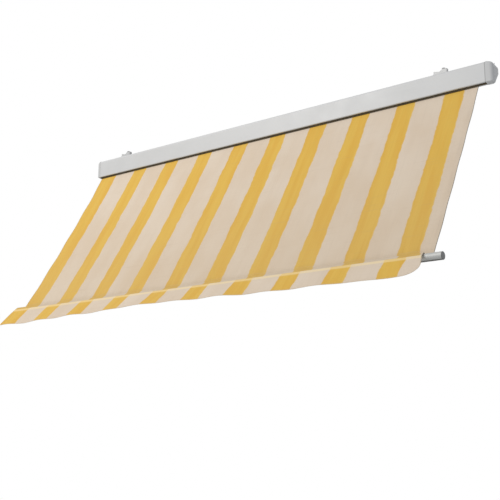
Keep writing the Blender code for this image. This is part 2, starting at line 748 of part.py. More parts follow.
def wall_bracket(side_name, side):
    """One bracket, its clamp jaw and screw on top, and its two wall bolts."""
    centre = side * BRACKET_X
    half = BRACKET_WIDTH / 2
    outline = [Vector(p) for p in bracket_outline()][::-1]
    bracket = add(f"{side_name}_wall_bracket", section([outline], -half, half), WALL_METAL, (centre, 0, 0))
    for at in (-BOLT_SPACING / 2, BOLT_SPACING / 2):
        hole = pointing_out(turned(bore_profile(-BRACKET_PLATE, 2 * BRACKET_PLATE), 12))
        cut(bracket, moved(hole, (at, 0, BOLT_Z)))
    screw_z = top_z(JAW_Y) + BRACKET_ARM
    jaw_low = top_z(JAW_Y - JAW_DEPTH / 2) + GAP + BRACKET_ARM + GAP
    jaw = [
        Vector((-half, jaw_low)),
        Vector((half, jaw_low)),
        Vector((half, jaw_low + JAW_HEIGHT)),
        Vector((half * JAW_SHOULDER[0], jaw_low + JAW_HEIGHT * JAW_SHOULDER[1])),
        Vector((half * JAW_WAIST[0], jaw_low + JAW_HEIGHT * JAW_WAIST[1])),
        Vector((-half, jaw_low + JAW_HEIGHT * JAW_TIP)),
    ]
    mesh = slab([jaw], -JAW_DEPTH / 2, JAW_DEPTH / 2)
    for vertex in mesh.vertices:
        x, y, z = vertex.co
        vertex.co = (x, -z, y)
    jaw_object = add(f"{side_name}_clamp_jaw", mesh, WALL_METAL, (centre, JAW_Y, 0))
    seat = jaw_low + JAW_HEIGHT
    foot = screw_z - BRACKET_ARM / 2
    jaw_bore = standing(turned(bore_profile(jaw_low - JAW_HEIGHT, seat + JAW_HEIGHT), 12))
    cut(jaw_object, moved(jaw_bore, (CLAMP_SCREW_X, 0, 0)))
    bore = standing(turned(bore_profile(foot - GAP, seat), 12))
    cut(bracket, moved(bore, (CLAMP_SCREW_X, JAW_Y, 0)))
    screw = standing(turned(bolt_profile(foot, seat, CLAMP_HEAD_RADIUS, CLAMP_HEAD_HEIGHT), 16))
    add(f"{side_name}_clamp_screw", screw, BARE_STEEL, (centre + CLAMP_SCREW_X, JAW_Y, 0))
    for number, at in enumerate((-BOLT_SPACING / 2, BOLT_SPACING / 2), 1):
        profile = bolt_profile(0, BRACKET_PLATE, BOLT_HEAD_RADIUS, BOLT_HEAD_HEIGHT)
        bolt = pointing_out(turned(profile, 12))
        add(f"{side_name}_wall_bolt_{number}", bolt, BARE_STEEL, (centre + at, 0, BOLT_Z))


def bolt_profile(foot, seat, head_radius, head_height):
    """Turned profile of a bolt whose shank stands on foot and whose head lies just over seat."""
    return [
        (foot, 0),
        (foot, BOLT_RADIUS),
        (seat + GAP, BOLT_RADIUS),
        (seat + GAP, head_radius),
        (seat + GAP + head_height, head_radius),
        (seat + GAP + head_height, 0),
    ]


def bore_profile(low, high):
    return [(low, 0), (low, BOLT_RADIUS + GAP), (high, BOLT_RADIUS + GAP), (high, 0)]


# Arms


def pin(name, place, parent):
    """A pin from a head under the lower ear up into the upper one."""
    low = -EAR_HALF - GAP - PIN_HEAD_HEIGHT
    profile = [
        (low, 0),
        (low, PIN_HEAD_RADIUS),
        (-EAR_HALF - GAP, PIN_HEAD_RADIUS),
        (-EAR_HALF - GAP, PIN_RADIUS),
        (EAR_HALF - GAP, PIN_RADIUS),
        (EAR_HALF - GAP, 0),
    ]
    add(name, standing(turned(profile, 12)), BARE_STEEL, place, parent=parent)


def pin_bore(low, high):
    radius = PIN_RADIUS + RUNNING_GAP
    return standing(turned([(low, 0), (low, radius), (high, radius), (high, 0)], 12))


def arm_tube(name, offset, parent):
    """The arm's tube, which lies beside its pivot line so that the two arms fold past each other."""
    half_w = ARM_WIDTH / 2
    half_h = ARM_HEIGHT / 2
    outer = rectangle((offset - half_w, -half_h), (offset + half_w, half_h), ARM_ROUND)
    wall = ARM_WALL
    low = (offset - half_w + wall, -half_h + wall)
    high = (offset + half_w - wall, half_h - wall)
    inner = rectangle(low, high, ARM_INNER_ROUND)
    add(name, section([outer, inner], FITTING_REACH, ARM_LENGTH - FITTING_REACH), ARM_PAINT, parent=parent)


def fitting(name, at, towards, offset, forked, parent):
    """A cast end piece: a plug in the arm's tube, a body at its end and an eye or a fork on the pivot."""
    half_w = ARM_WIDTH / 2
    near = towards * BODY_START
    far = towards * (FITTING_REACH - GAP)
    low = (min(near, far), offset - half_w, -EAR_HALF)
    high = (max(near, far), offset + half_w, EAR_HALF)
    made = add(name, block(low, high), ARM_PAINT, (at, 0, 0), parent=parent)
    plug_w = half_w - ARM_WALL - GAP
    plug_h = EAR_HALF - ARM_WALL - GAP
    start = towards * (FITTING_REACH - OVERLAP)
    end = towards * (FITTING_REACH + FITTING_PLUG)
    plug_outline = rectangle((-plug_w, -plug_h), (plug_w, plug_h), PLUG_ROUND)
    plug_outline = [Vector((p.x + offset, p.y)) for p in plug_outline]
    cut(made, section([plug_outline], min(start, end), max(start, end)), "UNION")
    root = near + towards * OVERLAP
    beside = [(root, offset + half_w - EYE_INSET), (root, offset - half_w + EYE_INSET)]
    outline = hull(circle(EYE_RADIUS) + beside)
    if forked:
        inner = EYE_HALF + GAP
        cut(made, slab([outline], inner, EAR_HALF - GAP), "UNION")
        cut(made, slab([outline], GAP - EAR_HALF, -inner), "UNION")
    else:
        cut(made, slab([outline], -EYE_HALF, EYE_HALF), "UNION")
    cut(made, pin_bore(-BORE_REACH, BORE_REACH))


def arm_spring(name, offset, parent):
    """The tension spring in the upper arm's tube, hooked between the two end pieces."""
    first = FITTING_REACH + FITTING_PLUG + GAP
    last = ARM_LENGTH - first
    coil_start = first + SPRING_LEAD
    points = [Vector((first, offset, 0)), Vector((coil_start - SPRING_BEND, offset, 0))]
    steps = SPRING_TURNS * 8
    for i in range(steps + 1):
        angle = 2 * math.pi * i / 8
        x = coil_start + SPRING_LENGTH * i / steps
        points.append(Vector((x, offset + SPRING_RADIUS * math.cos(angle), SPRING_RADIUS * math.sin(angle))))
    points += [Vector((coil_start + SPRING_LENGTH + SPRING_BEND, offset, 0)), Vector((last, offset, 0))]
    curve = bpy.data.curves.new(name, "CURVE")
    curve.dimensions = "3D"
    curve.bevel_depth = SPRING_WIRE
    curve.bevel_resolution = 0
    curve.use_fill_caps = True
    spline = curve.splines.new("POLY")
    spline.points.add(len(points) - 1)
    for point, place in zip(spline.points, points):
        point.co = (*place, 1)
    curve.materials.append(material(BARE_STEEL))
    made = bpy.data.objects.new(name, curve)
    made.parent = parent
    bpy.context.collection.objects.link(made)


def fork_bracket(name, side, head_outline, parent, place):
    """A cast bracket that holds a pivot between two ears: a web on its outer side and a shaped head above."""
    inner = EYE_HALF + GAP
    web_in = EYE_RADIUS + WEB_CLEARANCE
    web_out = web_in + WEB_THICKNESS
    ear = hull(circle(EYE_RADIUS) + [(side * web_out, -WEB_HALF), (side * web_out, WEB_HALF)])
    low_x = min(-side * HEAD_INNER, side * web_out)
    high_x = max(-side * HEAD_INNER, side * web_out)
    made = add(name, section([head_outline], low_x, high_x), ARM_PAINT, place, parent=parent)
    cut(made, slab([ear], inner, HEAD_FOOT + OVERLAP), "UNION")
    cut(made, slab([ear], -EAR_HALF, -inner), "UNION")
    low = (min(side * web_in, side * web_out), -WEB_HALF + WEB_INSET, -EAR_HALF + WEB_INSET)
    high = (max(side * web_in, side * web_out), WEB_HALF - WEB_INSET, HEAD_FOOT + OVERLAP)
    cut(made, block(low, high), "UNION")
    cut(made, pin_bore(-BORE_REACH, EAR_HALF))
    return made


def shoulder_head():
    """Foot of the shoulder bracket, whose top lies along the cassette's sloping underside."""
    lower = in_slope(PAN_BACK_Y, PAN_Z)
    upper = in_slope(BACK_Y, BACK_LOW_Z)
    rise = (upper[1] - lower[1]) / (upper[0] - lower[0])

    def under(up):
        return lower[1] + rise * (up - lower[0]) - FOOT_GAP + ARM_DEPTH

    start = lower[0] + FOOT_INSET[0]
    end = upper[0] - FOOT_INSET[1]
    front = -SHOULDER_FRONT
    return [
        Vector((front, HEAD_FOOT)),
        Vector((end, HEAD_FOOT)),
        Vector((end, under(end))),
        Vector((start, under(start))),
        Vector((front, HEAD_FOOT + HEAD_RISE)),
    ]


def wrist_head():
    """Saddle of the wrist bracket, whose top is a cradle under the front bar."""
    centre = Vector((0, ARM_DEPTH))
    radius = BAR_RADIUS + GAP
    cradle = []
    steps = 12
    for i in range(steps + 1):
        angle = math.radians(CRADLE_ANGLES[1] + (CRADLE_ANGLES[0] - CRADLE_ANGLES[1]) * i / steps)
        cradle.append(centre + Vector((math.cos(angle), math.sin(angle))) * radius)
    low = [Vector((-EYE_RADIUS, HEAD_FOOT)), Vector((EYE_RADIUS, HEAD_FOOT))]
    right = cradle[0] + Vector((CRADLE_LIP, -CRADLE_LIP * 2))
    left = cradle[-1] + Vector((-CRADLE_LIP, -CRADLE_LIP * 2))
    return low + [right] + cradle + [left]


def arm(side_name, side, slope):
    """One folding arm with its shoulder bracket, its pivots and its wrist bracket."""
    down = Vector((side * SHOULDER_X, SHOULDER_UP, -ARM_DEPTH))
    elbow = down + Vector((-side * math.cos(ARM_ANGLE), -math.sin(ARM_ANGLE), 0)) * ARM_LENGTH
    wrist = Vector((side * SHOULDER_X, WRIST_UP, -ARM_DEPTH))
    outward = math.pi + ARM_ANGLE if side > 0 else -ARM_ANGLE
    inward = -ARM_ANGLE if side > 0 else math.pi + ARM_ANGLE
    offset = -side * ELBOW_OFFSET
    shoulder_axis = empty(f"{side_name}_shoulder_axis", down, (0, 0, outward), slope)
    elbow_axis = empty(f"{side_name}_elbow_axis", elbow, (0, 0, inward), slope)
    fork_bracket(f"{side_name}_shoulder_bracket", side, shoulder_head(), slope, down)
    pin(f"{side_name}_shoulder_pin", down, slope)
    fitting(f"{side_name}_shoulder_eye", 0, 1, offset, False, shoulder_axis)
    arm_tube(f"{side_name}_upper_arm", offset, shoulder_axis)
    arm_spring(f"{side_name}_arm_spring", offset, shoulder_axis)
    fitting(f"{side_name}_elbow_fork", ARM_LENGTH, -1, offset, True, shoulder_axis)
    pin(f"{side_name}_elbow_pin", (ARM_LENGTH, 0, 0), shoulder_axis)
    fitting(f"{side_name}_elbow_eye", 0, 1, offset, False, elbow_axis)
    arm_tube(f"{side_name}_forearm", offset, elbow_axis)
    fitting(f"{side_name}_wrist_eye", ARM_LENGTH, -1, offset, False, elbow_axis)
    fork_bracket(f"{side_name}_wrist_bracket", side, wrist_head(), slope, wrist)
    pin(f"{side_name}_wrist_pin", wrist, slope)


# Front bar


def grooved_circle(radius, grooves, sides=32):
    """A circle's outline with keder grooves let in at these angles, anticlockwise."""
    half_mouth = math.asin(GROOVE_MOUTH / 2 / radius)
    outline = []
    starts = sorted(grooves)
    for number, angle in enumerate(starts):
        pocket = groove_pocket(radius - GROOVE_RADIUS - GROOVE_SINK)[::-1]
        along = Vector((math.cos(angle), math.sin(angle)))
        across = Vector((-along.y, along.x))
        outline += [along * p.x + across * p.y for p in pocket]
        ahead = starts[(number + 1) % len(starts)] + (2 * math.pi if number + 1 == len(starts) else 0)
        first = angle + half_mouth
        run = ahead - half_mouth - first
        steps = max(2, round(sides * run / (2 * math.pi)))
        for i in range(steps + 1):
            at = first + run * i / steps
            outline.append(Vector((math.cos(at), math.sin(at))) * radius)
    return outline


def front_bar(slope):
    half = BAR_LENGTH / 2
    centre = (0, BAR_UP, 0)
    outline = grooved_circle(BAR_RADIUS, [0, VALANCE_GROOVE])
    bore = circle(BAR_BORE, 20, BORE_SHIFT)
    add("front_bar", section([outline, bore], -half, half), CASSETTE_PAINT, centre, parent=slope)
    for name, side in (("right", 1), ("left", -1)):
        profile = [
            (0, 0),
            (0, BAR_BORE - GAP),
            (BAR_PLUG_LENGTH, BAR_BORE - GAP),
            (BAR_PLUG_LENGTH, 0),
        ]
        plug = turned(profile, 20)
        for vertex in plug.vertices:
            x, y, z = vertex.co
            vertex.co = (side * (half - BAR_PLUG_LENGTH + x), y + BORE_SHIFT[0], z + BORE_SHIFT[1])
        if side < 0:
            plug.flip_normals()
        made = add(f"{name}_bar_plug", plug, MOULDED, centre, parent=slope)
        rim = [
            (0, 0),
            (0, BAR_RADIUS),
            (BAR_PLUG_FLANGE - BAR_PLUG_EASE, BAR_RADIUS),
            (BAR_PLUG_FLANGE, BAR_RADIUS - BAR_PLUG_EASE),
            (BAR_PLUG_FLANGE, 0),
        ]
        face = turned(rim, 32)
        for vertex in face.vertices:
            x, y, z = vertex.co
            vertex.co = (side * (half + GAP + x), y, z)
        if side < 0:
            face.flip_normals()
        cut(made, face, "UNION")
        neck = [(-OVERLAP, 0), (-OVERLAP, BAR_BORE - GAP * 2), (OVERLAP, BAR_BORE - GAP * 2), (OVERLAP, 0)]
        joint = turned(neck, 20)
        for vertex in joint.vertices:
            x, y, z = vertex.co
            vertex.co = (side * (half + x), y + BORE_SHIFT[0], z + BORE_SHIFT[1])
        if side < 0:
            joint.flip_normals()
        cut(made, joint, "UNION")
    rod("cloth_keder", half - KEDER_INSET, (BAR_UP + BAR_GROOVE_AT, 0), slope)
    at = Vector((math.cos(VALANCE_GROOVE), math.sin(VALANCE_GROOVE))) * BAR_GROOVE_AT
    rod("valance_keder", half - KEDER_INSET, (BAR_UP + at.x, at.y), slope)


# Cloth and valance


def stripe_borders(left, right, parts):
    """Places along x of the stripes' edges from left to right, in equal parts, with their colours."""
    edges = [0.0]
    for i in range(STRIPE_COUNT):
        edges += [STRIPE_START + i * STRIPE_PITCH, STRIPE_START + i * STRIPE_PITCH + STRIPE_WIDTH]
    edges[-1] = right - left
    xs = []
    yellow = []
    for number, (near, far) in enumerate(zip(edges, edges[1:])):
        for part in range(parts):
            xs.append(right - near - (far - near) * part / parts)
            yellow.append(number % 2 == 1)
    xs.append(left)
    return xs[::-1], yellow[::-1]


def striped_sheet(name, left, right, parts, path_at, thickness, parent=None):
    """A closed thin sheet: path_at gives its middle line at each x, and each stripe has its own finish."""
    xs, yellow = stripe_borders(left, right, parts)
    shape = bmesh.new()
    columns = []
    for x in xs:
        path = path_at(x)
        faces = (shifted(path, -thickness / 2), shifted(path, thickness / 2))
        columns.append([[shape.verts.new((x, p.x, p.y)) for p in face] for face in faces])
    for number, (near, far) in enumerate(zip(columns, columns[1:])):
        rows = len(near[0])
        for j in range(rows - 1):
            quads = [
                (near[0][j], far[0][j], far[0][j + 1], near[0][j + 1]),
                (near[1][j], near[1][j + 1], far[1][j + 1], far[1][j]),
            ]
            if number == 0:
                quads.append((near[0][j], near[0][j + 1], near[1][j + 1], near[1][j]))
            if number == len(columns) - 2:
                quads.append((far[0][j], far[1][j], far[1][j + 1], far[0][j + 1]))
            for quad in quads:
                shape.faces.new(quad).material_index = 0 if yellow[number] else 1
        for j in (0, rows - 1):
            edge = shape.faces.new((near[0][j], near[1][j], far[1][j], far[0][j]))
            edge.material_index = 0 if yellow[number] else 1
    mesh = mesh_of(shape)
    mesh.materials.append(material(YELLOW_CLOTH))
    mesh.materials.append(material(CREAM_CLOTH))
    add(name, mesh, CREAM_CLOTH, parent=parent)


def main_cloth(slope):
    """The drawn cloth, from the roller to the bar's groove, with a slight sag between slot and bar."""
    end = BAR_UP + BAR_GROOVE_AT + KEDER_RADIUS + GAP

    def path_at(_):
        points = [Vector((ROLLER_UP, 0)), Vector((SLOT_LEAD, 0))]
        for i in range(CLOTH_ROWS + 1):
            share = i / CLOTH_ROWS
            sag = CLOTH_SAG * 4 * share * (1 - share)
            points.append(Vector((-CLOTH_LENGTH * share, -sag)))
        return points + [Vector((end, 0))]

    striped_sheet("main_cloth", -CLOTH_WIDTH / 2, CLOTH_WIDTH / 2, 1, path_at, CLOTH_THICKNESS, slope)


def valance():
    """The valance: out of its groove, forward over the bar and down, with waves that grow to the hem."""
    along = UP * math.cos(VALANCE_GROOVE) + OUT * math.sin(VALANCE_GROOVE)
    start = along * (BAR_GROOVE_AT + KEDER_RADIUS + GAP)
    knee = along * (BAR_RADIUS + VALANCE_LIFT)
    ridge = Vector(VALANCE_RIDGE)
    hem = Vector(VALANCE_HEM)
    middle = ridge.lerp(hem, VALANCE_PLAIN)
    base = rounded([(*start, 0), (*knee, 0.004), (*ridge, 0.012), (*middle, 0)])
    fall = (hem - ridge).normalized()
    out = Vector((fall.y, -fall.x))
    base += [middle.lerp(hem, (i + 1) / WAVE_ROWS) for i in range(WAVE_ROWS)]
    length = (hem - ridge).length

    def path_at(x):
        turns = 2 * math.pi * x / WAVE_LENGTH
        wave = math.sin(turns) + LONG_WAVE_SHARE * math.sin(turns / LONG_WAVE_RATIO + 1)
        path = []
        for point in base:
            share = max(0.0, (point - ridge).dot(fall) / length)
            path.append(BAR + point - out * WAVE_HEIGHT * wave * share**WAVE_GROWTH)
        return path

    left = VALANCE_SHIFT - VALANCE_WIDTH / 2
    right = VALANCE_SHIFT + VALANCE_WIDTH / 2
    striped_sheet("valance", left, right, WAVE_PARTS, path_at, VALANCE_THICKNESS)


def build():
    clear_scene()
    front_hood()
    back_profile()
    lip_seal()
    cassette_ends()
    end_cap("right_end_cap", RIGHT_END_X + GAP, RIGHT_CAP_LENGTH, 1)
    end_cap("left_end_cap", LEFT_END_X - GAP, LEFT_CAP_LENGTH, -1)
    roller_axis = empty("roller_axis", (0, *ROLLER))
    roller_tube(roller_axis)
    rod("roller_keder", CLOTH_WIDTH / 2, (TUBE_GROOVE_AT, 0), roller_axis)
    cloth_turns(roller_axis)
    idler_end(roller_axis)
    roller_bearing()
    drive_end(roller_axis)
    cable_gland()
    slope = empty("slope_frame", SLOPE_ORIGIN, (CLOTH_SLOPE, 0, 0))
    for side_name, side in (("right", 1), ("left", -1)):
        wall_bracket(side_name, side)
        arm(side_name, side, slope)
    front_bar(slope)
    main_cloth(slope)
    valance()


build()
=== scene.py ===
"""Looks of the folding-arm awning: its striped cloth and valance, its finishes and its small fastenings.

Metres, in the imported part's frame: +X along the wall, +Y into it, +Z up. The slope frame used for the
cloth has its origin in the cassette's slot, with `up` running up the cloth and `out` out of its upper face.
"""

import math

import bpy
import numpy as np
from mathutils import Matrix, Vector


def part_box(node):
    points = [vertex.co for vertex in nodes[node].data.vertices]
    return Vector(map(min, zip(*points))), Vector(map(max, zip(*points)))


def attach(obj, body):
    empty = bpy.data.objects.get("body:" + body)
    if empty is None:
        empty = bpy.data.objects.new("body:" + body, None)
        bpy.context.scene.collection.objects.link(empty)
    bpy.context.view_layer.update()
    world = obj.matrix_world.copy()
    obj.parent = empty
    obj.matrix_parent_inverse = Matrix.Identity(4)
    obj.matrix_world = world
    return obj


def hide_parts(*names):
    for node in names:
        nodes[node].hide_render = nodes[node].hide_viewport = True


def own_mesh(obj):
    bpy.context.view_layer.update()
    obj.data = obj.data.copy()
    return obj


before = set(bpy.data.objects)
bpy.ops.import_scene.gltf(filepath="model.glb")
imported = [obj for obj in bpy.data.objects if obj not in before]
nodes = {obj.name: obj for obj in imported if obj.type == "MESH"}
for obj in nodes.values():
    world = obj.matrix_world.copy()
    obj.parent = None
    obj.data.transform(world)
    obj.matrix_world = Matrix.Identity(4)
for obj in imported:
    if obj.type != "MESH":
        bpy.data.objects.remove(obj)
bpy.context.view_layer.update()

# Places taken over from the part, the pairs in y and z
SLOT = np.array([-0.095, -0.1336])
UP = np.array([0.531398, 0.847122])
OUT = np.array([-0.847122, 0.531398])
ROLLER = np.array([-0.068175, -0.039463])
BAR = np.array([-0.756963, -1.188860])
ROLLER_UP = 0.094
CLOTH_END = -1.2273
CLOTH_WIDTH = 2.93
CLOTH_LENGTH = ROLLER_UP - CLOTH_END

# Stripes and weave
STRIPE_START = 0.075
STRIPE_PITCH = 0.300
STRIPE_WIDTH = 0.128
STRIPE_EDGE = 0.009
BORDER_WANDER = 0.024
BORDER_FLUTTER = 0.012
LAST_STRIPE = STRIPE_START + 9 * STRIPE_PITCH
SEAMS = (1.20, 2.40)
SEAM_STITCH = 0.007
THREAD_PITCH = 0.0011
STITCH_PITCH = 0.0045
STITCH_LENGTH = 0.0032

# The drawn cloth
CLOTH_THICKNESS = 0.0007
CLOTH_SAG = 0.010
CLOTH_WAIST = 0.004
EDGE_DROOP = 0.0035
PLEAT_HEIGHT = 0.0008
GATHER_HEIGHT = 0.0010

# The valance
VALANCE_WIDTH = 2.93
VALANCE_THICKNESS = 0.0009
VALANCE_INSET = 0.040
VALANCE_RIGHT = VALANCE_WIDTH / 2 - VALANCE_INSET
GROOVE_ANGLE = math.radians(50)
GROOVE_FOOT = 0.0184
GROOVE_MOUTH = 0.0270
RIDGE = np.array([-0.034, 0.006])
HEM = np.array([-0.128, -0.0975])
CORNER_CUTS = (0.006, 0.012)
RIGHT_CORNER = (0.085, 0.078)
LEFT_CORNER = (0.016, 0.010)
RIGHT_FLARE = 0.028
RIGHT_FLARE_END = 0.5
LEFT_FLARE = 0.033
LEFT_FLARE_START = 1.5
TAPE_RADIUS = 0.0011
TAPE_FROM = 0.30  # share of the valance's length at which the tape comes out from over the bar
FOLD_END = 0.060
BAR_COVER = FOLD_END - 0.026
COVER_SHIFT = 0.068
STRIPE_LEAN = 0.034
LEAN_ACROSS = (0.04, 0.34)
LEAN_END = 0.175
SWING_POWER = 1.2
# Height in metres, length in metres and start of each wave that swings the hem outwards
HEM_WAVES = (
    (0.0140, 5.0, 1.64),
    (0.0057, 1.9, 2.38),
    (0.0013, 0.95, 2.65),
    (0.0022, 0.62, -1.47),
    (0.0014, 0.36, 3.07),
    (0.0030, 0.29, 1.49),
)

# The cloth left on the roller
ROLLED_TURNS = 2.6
ROLLED_RADIUS = 0.02555
TURN_GROWTH = 0.00045
ROLLED_THICKNESS = 0.0003

# Fastenings, their profiles as radius and height
WASHER_PROFILE = (
    (0.0046, 0),
    (0.0082, 0),
    (0.0085, 0.0003),
    (0.0085, 0.0010),
    (0.0080, 0.0013),
    (0.0046, 0.0013),
)
BOLT_HEAD_PROFILE = (
    (0, 0.0013),
    (0.0061, 0.0013),
    (0.0063, 0.0016),
    (0.0063, 0.0042),
    (0.0059, 0.0048),
    (0.0050, 0.0052),
    (0, 0.0052),
)
BOLT_SEAT = 0.0081
BOLT_SHANK_TOP = 0.0014
SHANK_RADIUS = 0.0038
SHANK_BEVEL = (0.0004, 0.0006)
KNOB_RADIUS = 0.0105
KNOB_HEIGHT = 0.0069
KNOB_DROP = 0.0070
KNOB_RIM = 0.0026
KNOB_EDGE = 0.0008
SOCKET_RADIUS = 0.0040
SOCKET_DEPTH = 0.0040
CAP_SCREW_RADIUS = 0.0045
CAP_SCREW_PROUD = 0.0001
CAP_SCREW_DOME = 0.0011
CAP_SCREW_PLACES = ((-0.085, -0.018), (-0.045, -0.055))
RECESS_DEPTH = 0.0007
RECESS_WIDTH = 0.13  # half the width of the recess's arms, and their reach, as shares of the screw's radius
RECESS_REACH = 0.62


# Meshes


def mesh_piece(name, points, faces, uvs=None, smooth=True):
    """A mesh object at the origin from vertex places, faces and, for each vertex, its place in the UV map."""
    mesh = bpy.data.meshes.new(name)
    mesh.from_pydata(points.reshape(-1, 3).tolist(), [], faces.tolist())
    mesh.polygons.foreach_set("use_smooth", np.full(len(mesh.polygons), smooth))
    if uvs is not None:
        layer = mesh.uv_layers.new(name="cloth")
        corners = np.empty(len(mesh.loops), dtype=np.int64)
        mesh.loops.foreach_get("vertex_index", corners)
        layer.data.foreach_set("uv", uvs.reshape(-1, 2)[corners].ravel())
    mesh.update()
    piece = bpy.data.objects.new(name, mesh)
    bpy.context.collection.objects.link(piece)
    return piece


def grid_faces(rows, columns, wrap_rows=False, wrap_columns=False):
    """Quads between neighbouring vertices of a rows by columns grid, joined round where it wraps."""
    i = np.arange(rows if wrap_rows else rows - 1)[:, None]
    j = np.arange(columns if wrap_columns else columns - 1)[None, :]
    i2 = (i + 1) % rows
    j2 = (j + 1) % columns
    corners = (i * columns + j, i2 * columns + j, i2 * columns + j2, i * columns + j2)
    return np.stack(np.broadcast_arrays(*corners), -1).reshape(-1, 4)


def turned_points(profile, radius_at=None, sides=48):
    """Points of a surface turned about z: each (radius, height) of the profile at every angle, its radius
    times radius_at(angle) where that is given."""
    angle = np.linspace(0, 2 * np.pi, sides, endpoint=False)
    profile = np.asarray(profile, float)
    scale = np.ones(sides) if radius_at is None else radius_at(angle)
    radius = profile[:, :1] * scale[None, :]
    height = np.repeat(profile[:, 1:], sides, axis=1)
    return np.stack([radius * np.cos(angle), radius * np.sin(angle), height], -1)


def swept_tube(name, path, radius, sides=8):
    """A round tube along a path: at each point a circle across the path's direction, its ends drawn in to
    a point."""
    path = np.asarray(path, float)
    along = np.gradient(path, axis=0)
    along /= np.linalg.norm(along, axis=1, keepdims=True)
    never_along = np.array([0.31, 0.22, 0.93])
    side = np.cross(along, never_along)
    side /= np.linalg.norm(side, axis=1, keepdims=True)
    other = np.cross(along, side)
    angle = np.linspace(0, 2 * np.pi, sides, endpoint=False)
    ring = np.cos(angle)[None, :, None] * side[:, None, :] + np.sin(angle)[None, :, None] * other[:, None, :]
    size = np.full(len(path), radius)
    size[[0, -1]] = radius * 0.02
    points = path[:, None, :] + ring * size[:, None, None]
    return mesh_piece(name, points, grid_faces(len(path), sides, wrap_columns=True))


def weld(piece):
    """Joins the vertices that lie together where a profile meets its axis."""
    change = piece.modifiers.new("weld", "WELD")
    change.merge_threshold = 1e-6
    return piece


def thicken(piece, thickness):
    """Gives a surface its thickness, half to either side."""
    change = piece.modifiers.new("thickness", "SOLIDIFY")
    change.thickness = thickness
    change.offset = 0


def dress(piece, material, body):
    """Gives a piece its material and its body."""
    piece.data.materials.clear()
    piece.data.materials.append(material)
    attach(piece, body)


# Materials


class Value:
    """A number that varies over a surface. Operators on it add Math nodes."""

    def __init__(self, finish, socket):
        self.finish = finish
        self.socket = socket

    def math(self, operation, *others):
        node = self.finish.node("ShaderNodeMath", dict(enumerate((self, *others))), operation=operation)
        return Value(self.finish, node.outputs[0])

    def __add__(self, other):
        return self.math("ADD", other)

    def __sub__(self, other):
        return self.math("SUBTRACT", other)

    def __rsub__(self, other):
        node = self.finish.node("ShaderNodeMath", {0: other, 1: self}, operation="SUBTRACT")
        return Value(self.finish, node.outputs[0])

    def __mul__(self, other):
        return self.math("MULTIPLY", other)

    def __lt__(self, other):
        return self.math("LESS_THAN", other)

    def wrapped(self, period):
        return self.math("FLOORED_MODULO", period)

    def sine(self):
        return self.math("SINE")

    def larger(self, other):
        return self.math("MAXIMUM", other)

    def smaller(self, other):
        return self.math("MINIMUM", other)

    def size(self):
        return self.math("ABSOLUTE")

    def ramp(self, low, high, out_low=0.0, out_high=1.0):
        """Runs smoothly from out_low at low to out_high at high."""
        values = {"Value": self, "From Min": low, "From Max": high, "To Min": out_low, "To Max": out_high}
        node = self.finish.node("ShaderNodeMapRange", values, interpolation_type="SMOOTHSTEP")
        return Value(self.finish, node.outputs["Result"])


class Finish:
    """One material: its nodes are added by name, and its shader's sockets are set or fed."""

    def __init__(self, name, constants=None):
        self.material = bpy.data.materials.new(name)
        self.material.use_nodes = True
        self.tree = self.material.node_tree
        self.shader = self.tree.nodes["Principled BSDF"]
        for socket, value in (constants or {}).items():
            self.set(socket, value)

    def node(self, kind, values=None, **settings):
        """A node of this kind, its settings made first and then its sockets given values or links."""
        node = self.tree.nodes.new(kind)
        for setting, value in settings.items():
            setattr(node, setting, value)
        for key, value in (values or {}).items():
            self.give(node.inputs[key], value)
        return node

    def give(self, socket, value):
        """Links a socket to a value that varies, or sets it to a plain number or colour."""
        if isinstance(value, Value):
            value = value.socket
        if isinstance(value, bpy.types.NodeSocket):
            self.tree.links.new(value, socket)
        elif isinstance(value, tuple) and len(value) == 3 and socket.type == "RGBA":
            socket.default_value = (*value, 1)
        else:
            socket.default_value = value

    def set(self, socket, value):
        self.give(self.shader.inputs[socket], value)

    def place(self):
        return self.node("ShaderNodeTexCoord").outputs["Object"]

    def along(self, axis):
        """How far along the object's X, Y or Z."""
        return Value(self, self.node("ShaderNodeSeparateXYZ", {"Vector": self.place()}).outputs[axis])

    def noise(self, scale, detail=2.0, stretch=(1, 1, 1), where=None):
        """Cloudy noise, this many cells to the metre, its cells drawn out where stretch is small."""
        where = where or self.place()
        moved = self.node("ShaderNodeMapping", {"Vector": where, "Scale": stretch}).outputs["Vector"]
        values = {"Vector": moved, "Scale": scale, "Detail": detail, "Roughness": 0.55}
        return Value(self, self.node("ShaderNodeTexNoise", values).outputs["Fac"])

    def blend(self, share, first, second):
        """A colour between two, given as numbers or links."""
        node = self.node("ShaderNodeMix", {0: share, 6: first, 7: second}, data_type="RGBA")
        return node.outputs[2]

    def raise_by(self, height, distance, strength=1.0):
        """Feeds the shader's normal from a height that varies, in metres at strength 1."""
        values = {"Height": height, "Distance": distance, "Strength": strength}
        self.set("Normal", self.node("ShaderNodeBump", values).outputs["Normal"])


def darker(colour, share):
    return tuple(channel * share for channel in colour)


